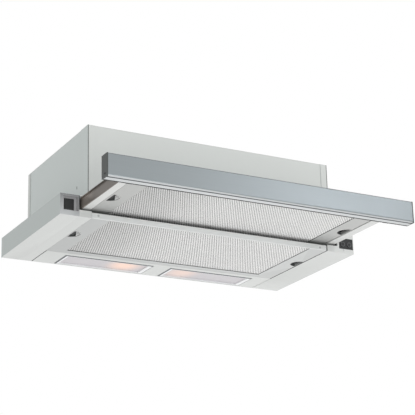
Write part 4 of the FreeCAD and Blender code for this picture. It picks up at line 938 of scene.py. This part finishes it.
@dataclass
class FrontBar:
    """Extruded bar across the front of the drawer, with its end caps and buffers."""

    bead: float = 2.4 * MM
    groove: float = 1.2 * MM
    groove_growth: float = 2.8 * MM
    groove_lift: float = 1.2 * MM
    slot: tuple[float, float] = (3.6 * MM, 1.2 * MM)
    slot_depth: float = 1.0 * MM
    rim_radius: float = 1.5 * MM
    edge_radius: float = 0.3 * MM
    clip_hole: float = 3.2 * MM
    clip_place: tuple[float, float] = (8.0 * MM, 6.5 * MM)
    clip_depth: float = 0.9 * MM

    def bar(self) -> None:
        """Round the bead, open the shadow groove and the rear slot, and brush the face; paint shade on the top rim, in
        the groove, in the slot and along the rear lower edge, and paint light on the bead and underside.
        """
        low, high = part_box("front_bar")
        piece = node_copy("front_bar")
        bead_top = low.z + self.bead
        groove_rear = low.y + self.bead + self.groove
        shifted(piece, lambda at, _: abs(at.y - groove_rear) < HAIR / 2 and at.z < bead_top,
                (0.0, self.groove_growth, 0.0))
        shifted(piece, lambda at, _: low.z + 5 * HAIR < at.z < bead_top - 2 * HAIR, (0.0, 0.0, self.groove_lift))
        slot_front, slot_rear = (high.y - distance for distance in self.slot)
        scored(piece, ("Y", slot_front), ("Y", slot_rear))
        with editing(piece):
            pick(Pick.FACES, lambda at, way: way.z < -FACING and at.z < low.z + HAIR and slot_front < at.y < slot_rear)
            draw_out((0.0, 0.0, self.slot_depth))
            pick(Pick.EDGES, lambda at, way: abs(way.x) > FACING and at.y < low.y + HAIR)
            bpy.ops.mesh.bevel(offset=self.rim_radius, segments=3)
        dressed(rounded(piece, self.edge_radius), BAR_FACE)
        # painted light on the bead and underside
        patched(piece, BAR_UNDERSIDE_LIT, lambda at, _: at.z < bead_top - 3 * HAIR)
        rim = self.rim_radius * 1.1
        # painted shade on the top rim
        patched(piece, BAR_RIM_SHADE, lambda at, way: way.z > 0.2 and at.z > high.z - rim and at.y < low.y + rim)
        # painted shade along the rear lower edge, in the groove and in the rear slot
        patched(piece, SEAM_SHADE, lambda at, _: at.z < low.z + 3 * HAIR and at.y > slot_rear - HAIR / 2)
        for finish, start, end in ((BAR_GROOVE, low.y + self.bead, groove_rear + self.groove_growth),
                                   (SEAM_SHADE, slot_front, slot_rear)):
            patched(piece, finish, lambda at, _: low.z + 3 * HAIR < at.z < low.z + self.bead * 1.2
                    and start - HAIR < at.y < end + HAIR)
        settled(piece, "front_bar")

    def cap(self, side: Side) -> None:
        """Sink a clip hole in the outer face of an end cap, with painted shade inside it.

        Args:
            side: the bar's end.
        """
        node = f"bar_cap_{side.word}"
        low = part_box(node)[0]
        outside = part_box(node)[side is Side.RIGHT].x
        hole_y, hole_z = low.y + self.clip_place[0], low.z + self.clip_place[1]
        half = self.clip_hole / 2
        piece = scored(node_copy(node), ("Y", hole_y - half), ("Y", hole_y + half),
                       ("Z", hole_z - half), ("Z", hole_z + half))

        def in_hole(at: Vector, reach: float) -> bool:
            """Tell whether a place is within reach of the hole's middle."""
            return abs(at.y - hole_y) < reach and abs(at.z - hole_z) < reach

        with editing(piece):
            pick(Pick.FACES, lambda at, _: abs(at.x - outside) < HAIR / 10 and in_hole(at, half))
            draw_out((-self.clip_depth * side.value, 0.0, 0.0))
        dressed(rounded(piece, 2 * HAIR), CAP_GREY)
        # painted shade: the hole's walls and floor are black
        patched(piece, BLACK, lambda at, _: 5 * HAIR < abs(at.x - outside) < 12 * HAIR and in_hole(at, half * 1.2))
        settled(piece, node)

    def build(self) -> None:
        """Dress the bar, its caps and its buffers."""
        self.bar()
        for side in Side:
            self.cap(side)
        eased("bar_bumpers", RUBBER, 0.2 * MM, 3)


@dataclass
class DrawerFrame:
    """Rails, top sheet and rear bar of the slide-out drawer."""

    track_edge: float = 256.5 * MM
    top_level: float = 32.5 * MM

    def rail(self, side: Side) -> None:
        """Paint a rail, with painted shade and a warm painted reflection on the track of its outer wall and on the
        outer corner of the left one, turning to painted light towards the base.

        Args:
            side: the drawer's side.
        """
        node = f"drawer_rail_{side.word}"
        piece = scored(node_copy(node), ("X", self.track_edge * side.value))
        dressed(rounded(piece, 0.3 * MM), RAIL_FACE)
        # painted shade on the outer track, lighter towards the base
        patched(piece, RAIL_TRACK_SHADE, lambda at, way: at.z > self.top_level or abs(at.x) > self.track_edge
                and (side is Side.LEFT or way.z > -FACING))
        settled(piece, node)

    def build(self) -> None:
        """Dress the drawer's sheet parts."""
        for side in Side:
            self.rail(side)
        for node, finish in (("drawer_cover", ZINC), ("drawer_rear_bar", RAIL_FACE), ("bar_brackets", ZINC)):
            eased(node, finish)


@dataclass
class GreaseFilter:
    """One filter cassette: frame, expanded mesh, layers and two latches."""

    place: FilterPlace
    columns: int = 112
    row: float = 6.55 * MM
    hole: tuple[float, float] = (0.84, 0.46)
    twist: float = 0.24 * MM
    strand: float = 0.25 * MM
    weld: float = 0.03 * MM
    recess_levels: tuple[float, float] = (-0.05 * MM, 0.3 * MM)
    window_half: float = 202.0 * MM
    side_growth: tuple[float, float] = (3.0 * MM, 0.0)
    outer_edge: float = 238.4 * MM
    outer_move: tuple[float, float] = (-1.2 * MM, -0.6 * MM)
    front_border: float = 7.0 * MM
    front_growth: float = 5.0 * MM
    seat_growth: float = 1.6 * MM
    seat_skin: float = 0.9 * MM
    seat_x: tuple[float, float] = (1.0 * MM, 5.0 * MM)
    lower_radius: float = 1.2 * MM
    seam_top: float = 1.05 * MM
    side_face: float = 237.0 * MM
    cup_edge: float = 0.9 * MM
    cup_shade: float = 10.0 * MM
    cup_margin: float = 5.0 * MM
    cup_top: float = 9.2 * MM
    cup_x: tuple[float, float] = (210.0 * MM, 236.9 * MM)
    cup_floor: tuple[float, float, float] = (215.0 * MM, 9.0 * MM, 9.3 * MM)
    pad_slope: float = 1.5 * MM
    ridge_count: int = 5
    ridge_x: tuple[float, float] = (1.0 * MM, 2.6 * MM)
    ridge_z: tuple[float, float] = (0.05 * MM, 1.2 * MM)

    def reshaped(self, low: Vector, high: Vector) -> Piece:
        """Slim the frame's front border and move its inner and outer edges.

        Args:
            low: lowest corner of the frame.
            high: highest corner of the frame.

        Returns:
            The frame, with rounded edges.
        """
        piece = node_copy(f"filter_frame_{self.place.value}")
        window_y, half = low.y + self.front_border, self.window_half
        shifted(piece, lambda at, _: abs(at.y - window_y) < HAIR and abs(at.x) < half + HAIR,
                (0.0, -self.front_growth, 0.0))
        seat_rear = self.front_border - self.front_growth + 12 * HAIR
        shifted(piece, lambda at, _: 5 * HAIR < at.y - low.y < seat_rear
                and low.z + self.seat_skin < at.z < high.z - self.seat_skin
                and self.seat_x[0] < abs(at.x) - half < self.seat_x[1], (0.0, -self.seat_growth, 0.0))
        for side, growth, move in zip(Side, self.side_growth, self.outer_move):
            shifted(piece, lambda at, _: abs(at.x - half * side.value) < HAIR, (growth * side.value, 0.0, 0.0))
            shifted(piece, lambda at, _: at.x * side.value > self.outer_edge, (move, 0.0, 0.0))
        with editing(piece):
            pick(Pick.EDGES, lambda at, way: abs(way.x) > FACING and at.y < low.y + HAIR and at.z < low.z + HAIR)
            bpy.ops.mesh.bevel(offset=self.lower_radius, segments=4)
        return rounded(scored(piece, ("Z", low.z + self.cup_edge)), 2 * HAIR)

    def frame_sheet(self) -> None:
        """Dress the frame, with painted shade where it holds the mesh, on its outer side face, on the finger cups'
        lower edge and behind the latches, and painted light in the finger cups, on its front edge and on the fixed
        frame's right end; the drawer's frame is a darker, shaded copy of the sheet.
        """
        node = f"filter_frame_{self.place.value}"
        low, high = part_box(node)
        piece = self.reshaped(low, high)
        if self.place is FilterPlace.FIXED:
            dressed(piece, FILTER_SHEET)
            # painted light on the fixed frame's right end
            patched(piece, FILTER_SHEET_LIT, lambda at, way: way.z < -FACING and at.z < low.z + HAIR
                    and at.x > self.window_half)
        else:
            # painted shade: the drawer frame's darker copy of the sheet
            dressed(piece, FILTER_SHEET_SHADED)
        inside = self.window_half + max(self.side_growth) + 3 * HAIR
        # painted shade on the walls where the frame holds the mesh, and on its outer side face
        patched(piece, SEAM_SHADE, lambda at, way: at.z < low.z + self.seam_top and abs(way.z) < 0.5
                and abs(at.x) < inside and at.y > low.y + 15 * HAIR)
        patched(piece, SEAM_SHADE, lambda at, way: way.x > FACING and at.x > self.side_face)
        # painted light on the rounded front edge
        patched(piece, FILTER_FRONT_LIT, lambda at, way: way.y < -0.1 and at.y < low.y + self.lower_radius + HAIR / 2)
        floor_x, floor_low, floor_high = self.cup_floor
        # painted light on the finger cups' floors
        patched(piece, CUP_LIT, lambda at, way: way.z < -FACING and floor_low < at.z - low.z < floor_high
                and abs(at.x) > floor_x)
        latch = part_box(f"latch_{self.place.value}_left")
        shaded = (latch[0].y + latch[1].y) / 2 + self.cup_shade
        front, rear = low.y + self.cup_margin, high.y - self.cup_margin
        # painted shade on the cups' lower edge and behind the latches, painted light on the rest of their walls
        for finish, bottom, top, near in ((CUP_EDGE_SHADE, 0.0, self.cup_edge, front),
                                          (CUP_LIT, self.cup_edge, self.cup_top, front),
                                          (SEAM_SHADE, self.cup_edge, self.cup_top, shaded)):
            patched(piece, finish, lambda at, way: low.z + bottom < at.z < low.z + top and abs(way.z) < 0.5
                    and self.cup_x[0] < abs(at.x) < self.cup_x[1] and near < at.y < rear)
        settled(piece, node)

    def mesh_cell(self, half_x: float) -> Piece:
        """Slit and stretch one diamond of the mesh, with its sides twisted.

        Args:
            half_x: half the width of the diamond.

        Returns:
            A ring of four strands about the origin.
        """
        clear_selection()
        bpy.ops.mesh.primitive_circle_add(vertices=4, radius=math.sqrt(0.5), fill_type="NGON",
                                          rotation=(0.0, 0.0, math.radians(45.0)))
        cell = named("mesh_cell")
        origin = {"center_override": (0.0, 0.0, 0.0)}
        with editing(cell):
            bpy.ops.mesh.inset(thickness=0.25)
            bpy.ops.mesh.delete(type="ONLY_FACE")
            pick(Pick.CORNERS, lambda at, _: abs(at.x) < 0.4)
            bpy.ops.transform.resize(value=(self.hole[0] / 0.5, self.hole[1] / 0.5, 1.0), **origin)
            for sign in (-1, 1):
                pick(Pick.CORNERS, lambda at, _: 0.0 < at.y * sign < 0.49)
                bpy.ops.transform.translate(value=(0.0, 0.0, -self.twist * sign))
            bpy.ops.mesh.select_all(action="SELECT")
            bpy.ops.transform.rotate(value=math.radians(-45.0), orient_axis="Z", **origin)
            bpy.ops.transform.resize(value=(half_x * math.sqrt(2.0), self.row / math.sqrt(2.0), 1.0), **origin)
        return cell

    def repeated(self, piece: Piece, count: int, step: Triple) -> None:
        """Repeat a stretch of mesh a step apart and weld the copies to each other."""
        modified(piece, "ARRAY", count=count, use_relative_offset=False, use_constant_offset=True,
                 constant_offset_displace=step, use_merge_vertices=True, merge_threshold=self.weld)

    def mesh_sheet(self) -> None:
        """Repeat the diamond over the whole sheet and trim it."""
        node = f"filter_mesh_{self.place.value}"
        low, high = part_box(node)
        front, width = low.y - self.seat_growth, (high.x - low.x) / self.columns
        rows = math.ceil((high.y - front) / self.row)
        cell = self.mesh_cell(width / 2)
        hold(cell)
        bpy.ops.object.duplicate()
        second = bpy.context.view_layer.objects.active
        second.location = (width / 2, self.row / 2, 0.0)
        laid(second)
        self.repeated(cell, rows, (0.0, self.row, 0.0))
        self.repeated(second, rows - 1, (0.0, self.row, 0.0))
        sheet = joined(f"expanded_mesh_{self.place.value}", [cell, second])
        self.repeated(sheet, self.columns, (width, 0.0, 0.0))
        middle = (low.z + high.z) / 2
        sheet.location = (low.x + width / 2, front + self.row / 2, middle)
        with editing(laid(sheet)):
            bpy.ops.mesh.remove_doubles(threshold=self.weld)
        scored(sheet, ("Y", high.y), ("X", high.x), trim=True)
        modified(sheet, "SOLIDIFY", thickness=self.strand, offset=0.0)
        hold(sheet)
        bpy.ops.object.shade_flat()
        # the mesh's finish paints shade on the strands' deeper edges and towards the left
        finish = ExpandedMetal(f"expanded filter mesh, {self.place.value}", (251, 251, 250), 0.6, specular=0.1,
                               mottle_scale=60.0, low=middle + self.recess_levels[0],
                               high=middle + self.recess_levels[1])
        settled(dressed(sheet, finish), node)

    def latch(self, side: Side) -> None:
        """Slope and ridge the finger pad of a latch.

        Args:
            side: the filter's side.
        """
        node = f"latch_{self.place.value}_{side.word}"
        low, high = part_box(node)
        piece = node_copy(node)
        shifted(piece, lambda at, _: at.z < low.z + HAIR / 10 and abs(at.x) > self.side_face,
                (0.0, 0.0, self.pad_slope))
        pieces = [rounded(piece, 3 * HAIR)]
        inner = min(abs(low.x), abs(high.x))
        start, end = sorted((inner + reach) * side.value for reach in self.ridge_x)
        bottom, top = (low.z + level for level in self.ridge_z)
        step = (high.y - low.y) / (self.ridge_count + 1)
        for number in range(self.ridge_count):
            y = low.y + step * (number + 1)
            ridge = block(f"ridge_{number}", (start, y - 5 * HAIR, bottom), (end, y + 5 * HAIR, top))
            pieces.append(rounded(ridge, 2 * HAIR))
        settled(dressed(joined(f"{node}_slide", pieces), LATCH_BLACK), node)

    def build(self) -> None:
        """Dress the whole cassette."""
        self.frame_sheet()
        self.mesh_sheet()
        # layers with their painted shade
        coated(LAYERS_SHADED, f"filter_layers_{self.place.value}")
        for side in Side:
            self.latch(side)


@dataclass
class LampUnit:
    """Lamp panel, frosted covers and the lamps above them."""

    lamp_x: float = 62.0 * MM
    lamp_y: float = -33.0 * MM
    glow_strength: tuple[float, float] = (0.38, 0.24)
    window: tuple[float, float] = (183.0 * MM, 60.0 * MM)
    window_rear: float = -3.0 * MM
    clearance: float = 0.4 * MM
    rim_level: float = 0.6 * MM
    plate_level: float = 3.0 * MM
    plate_top: float = 4.6 * MM
    plate_zone: float = 10.0 * MM
    rims: tuple[float, float, float, float] = (8.4 * MM, 8.0 * MM, 8.0 * MM, 2.0 * MM)
    # widths of the left and front strips of painted shade
    gasket: tuple[float, float] = (4.6 * MM, 6.8 * MM)
    clip: Triple = (1.6 * MM, 12.0 * MM, 9.0 * MM)
    clip_inset: float = 1.0 * MM
    joint_line: float = 0.7 * MM

    def lens(self, name: str, left: float, right: float) -> Piece:
        """Press the plate of a lamp cover up inside its rim.

        Args:
            name: name of the piece.
            left: left edge of the cover.
            right: right edge of the cover.

        Returns:
            The cover without its clips.
        """
        rear = self.window_rear - self.clearance
        front = self.window_rear - self.window[1] + self.clearance
        piece = block(name, (left, front, self.rim_level), (right, rear, self.plate_top))
        least = min(self.rims)
        rim_left, rim_right, rim_front, rim_rear = (rim - least for rim in self.rims)
        with editing(piece):
            pick(Pick.FACES, lambda _, way: way.z < -FACING)
            bpy.ops.mesh.inset(thickness=least)
        for test, move in ((lambda at: abs(at.x - left - least) < HAIR, (rim_left, 0.0, 0.0)),
                           (lambda at: abs(right - at.x - least) < HAIR, (-rim_right, 0.0, 0.0)),
                           (lambda at: abs(at.y - front - least) < HAIR, (0.0, rim_front, 0.0)),
                           (lambda at: abs(rear - at.y - least) < HAIR, (0.0, -rim_rear, 0.0))):
            shifted(piece, lambda at, _: at.z < self.rim_level + HAIR and test(at), move)
        with editing(piece):
            pick(Pick.FACES, lambda at, way: way.z < -FACING and abs(at.x - (left + right) / 2) < self.plate_zone
                 and abs(at.y - (front + rear) / 2) < self.plate_zone)
            draw_out((0.0, 0.0, self.plate_level - self.rim_level))
        scored(piece, ("X", left + self.gasket[0]), ("Y", front + self.gasket[1]))
        return rounded(piece, 2 * HAIR)

    def cover(self, side: Side) -> None:
        """Clip a cover together and paint on it its lamp's glow, shade along its left and front edges and light on its
        rim.

        Args:
            side: the panel's side.
        """
        node = f"lamp_cover_{side.word}"
        low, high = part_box(node)
        middle = (low.x + high.x) / 2
        left, right = (middle + (self.window[0] / 2 - self.clearance) * sign for sign in (-1, 1))
        front = self.window_rear - self.window[1] + self.clearance
        pieces = [self.lens(f"{node}_lens", left, right)]
        thick, wide, tall = self.clip
        for end, way in ((left, 1), (right, -1)):
            start, stop = sorted(end + (self.clip_inset + depth) * way for depth in (0.0, thick))
            clip = block("cover_clip", (start, self.lamp_y - wide / 2, self.plate_level + 5 * HAIR),
                         (stop, self.lamp_y + wide / 2, self.plate_top + tall))
            pieces.append(rounded(clip, 3 * HAIR))
        # painted glow: emission in a soft spot over the lamp, whose glass gives no light
        finish = LampDiffuser(
            f"frosted lamp cover, {side.word}", (197, 194, 197), 0.5, mottle=0.01, grain=0.01, relief=0.1, bump=0.3,
            strength=self.glow_strength[side is Side.RIGHT], middle=(self.lamp_x * side.value, self.lamp_y, 0.0))
        cover = dressed(joined(f"{node}_lens", pieces), finish)
        # painted light on the rim
        patched(cover, COVER_RIM_LIT, lambda at, _: at.z < self.plate_level - 2 * HAIR)
        # painted shade along the left and front edges
        patched(cover, COVER_SHADE, lambda at, _: at.z < self.rim_level + 2.5 * HAIR
                and (at.x < left + self.gasket[0] or at.y < front + self.gasket[1]))
        settled(cover, node)

    def build(self) -> None:
        """Dress the lamp panel, with a line of painted shade along its left edge, its covers and the lamps."""
        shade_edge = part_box("lamp_panel")[0].x + self.joint_line
        panel = scored(eased("lamp_panel", PAINT), ("X", shade_edge))
        # painted shade in a thin line along the panel's left edge
        patched(panel, SEAM_SHADE, lambda at, _: at.x < shade_edge)
        for side in Side:
            self.cover(side)
            coated(ZINC, f"lamp_tray_{side.word}")
        for finish, node in ((WHITE, "lamp_holders"), (NICKEL, "lamp_caps"), (GLASS, "lamp_glasses")):
            coated(finish, node)


@dataclass
class FrontControls:
    """Lamp button in its pocket and the two motor buttons in their block."""

    dish: float = 0.5 * MM
    square_rim: float = 1.6 * MM
    round_rim: float = 1.12 * MM
    worn_depth: float = 0.45 * MM

    def dished(self, piece: Piece, rim: float, radius: float) -> Piece:
        """Sink the front of a button inside its rim and round it.

        Args:
            piece: the button.
            rim: width of its rim.
            radius: how round its edges are.

        Returns:
            The same object, in black.
        """
        with editing(piece):
            pick(Pick.FACES, lambda _, way: way.y < -FACING)
            bpy.ops.mesh.inset(thickness=rim)
            bpy.ops.transform.translate(value=(0.0, self.dish, 0.0))
        return dressed(rounded(piece, radius, 3, 10.0), BLACK)

    def speed_button(self, word: str) -> None:
        """Shape a round button, with a painted highlight on its rim.

        Args:
            word: which of the two.
        """
        node = f"speed_button_{word}"
        low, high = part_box(node)
        middle, radius = (low + high) / 2, (high.x - low.x) / 2
        piece = rod(f"{node}_cap", (middle.x, low.y, middle.z), (middle.x, high.y, middle.z), radius, 40)
        self.dished(piece, self.round_rim, 0.35 * MM)
        # painted highlight on the rim
        patched(piece, BUTTON_RIM_GLINT, lambda at, _: at.y < low.y + self.worn_depth
                and math.hypot(at.x - middle.x, at.z - middle.z) > radius - self.round_rim)
        settled(piece, node)

    def build(self) -> None:
        """Dress the controls at both ends of the front."""
        eased("switch_bezel", POCKET)
        eased("control_block", BLACK)
        button = block("lamp_button_cap", *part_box("lamp_button"))
        settled(self.dished(button, self.square_rim, 0.5 * MM), "lamp_button")
        for word in ("inner", "outer"):
            self.speed_button(word)
        coated(BLACK, "lamp_switch", "drawer_switch")


@dataclass
class Blower:
    """Wheel, snail housing and motor inside the motor box."""

    def build(self) -> None:
        """Dress what the box hides."""
        coated(HOUSING, "scroll_left", "scroll_right", "blower_wheel")
        coated(ZINC, "motor_shaft", "motor_bracket")
        for finish, node in ((MOTOR, "motor"), (CAN, "capacitor"), (WHITE, "terminal_box")):
            coated(finish, node)


@dataclass
class DuctOutlet:
    """Duct collar with its flaps, screws and the cable gland beside it."""

    recess_rim: float = 1.76 * MM
    recess_depth: float = 0.9 * MM

    def screws(self) -> None:
        """Round the four screw heads and press a recess in each."""
        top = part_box("spigot_screws")[1].z
        piece = node_copy("spigot_screws")
        with editing(piece):
            pick(Pick.FACES, lambda at, way: way.z > FACING and at.z > top - HAIR / 10)
            bpy.ops.mesh.inset(thickness=self.recess_rim, use_individual=True)
            draw_out((0.0, 0.0, -self.recess_depth))
        settled(dressed(rounded(piece, 0.4 * MM, 3), ZINC), "spigot_screws")

    def build(self) -> None:
        """Dress the outlet and the gland."""
        eased("duct_spigot", DUCT)
        for word in ("front", "rear"):
            eased(f"flap_{word}", BLACK, 0.25 * MM)
        coated(ZINC, "flap_pin")
        self.screws()
        eased("cable_gland", BLACK, 0.4 * MM, 3)


def main() -> None:
    """Build the hood's dress in order and report each piece."""
    logging.basicConfig(level=logging.INFO, format="%(name)s: %(message)s")
    for assembly in (Studio(), Carcass(), FrontBar(), DrawerFrame(), GreaseFilter(FilterPlace.FIXED),
                     GreaseFilter(FilterPlace.DRAWER, columns=119, side_growth=(3.0 * MM, 2.0 * MM),
                                  outer_move=(-2.6 * MM, 0.0)),
                     LampUnit(), FrontControls(), Blower(), DuctOutlet()):
        assembly.build()
    clear_selection()


if __name__ == "__main__":
    main()
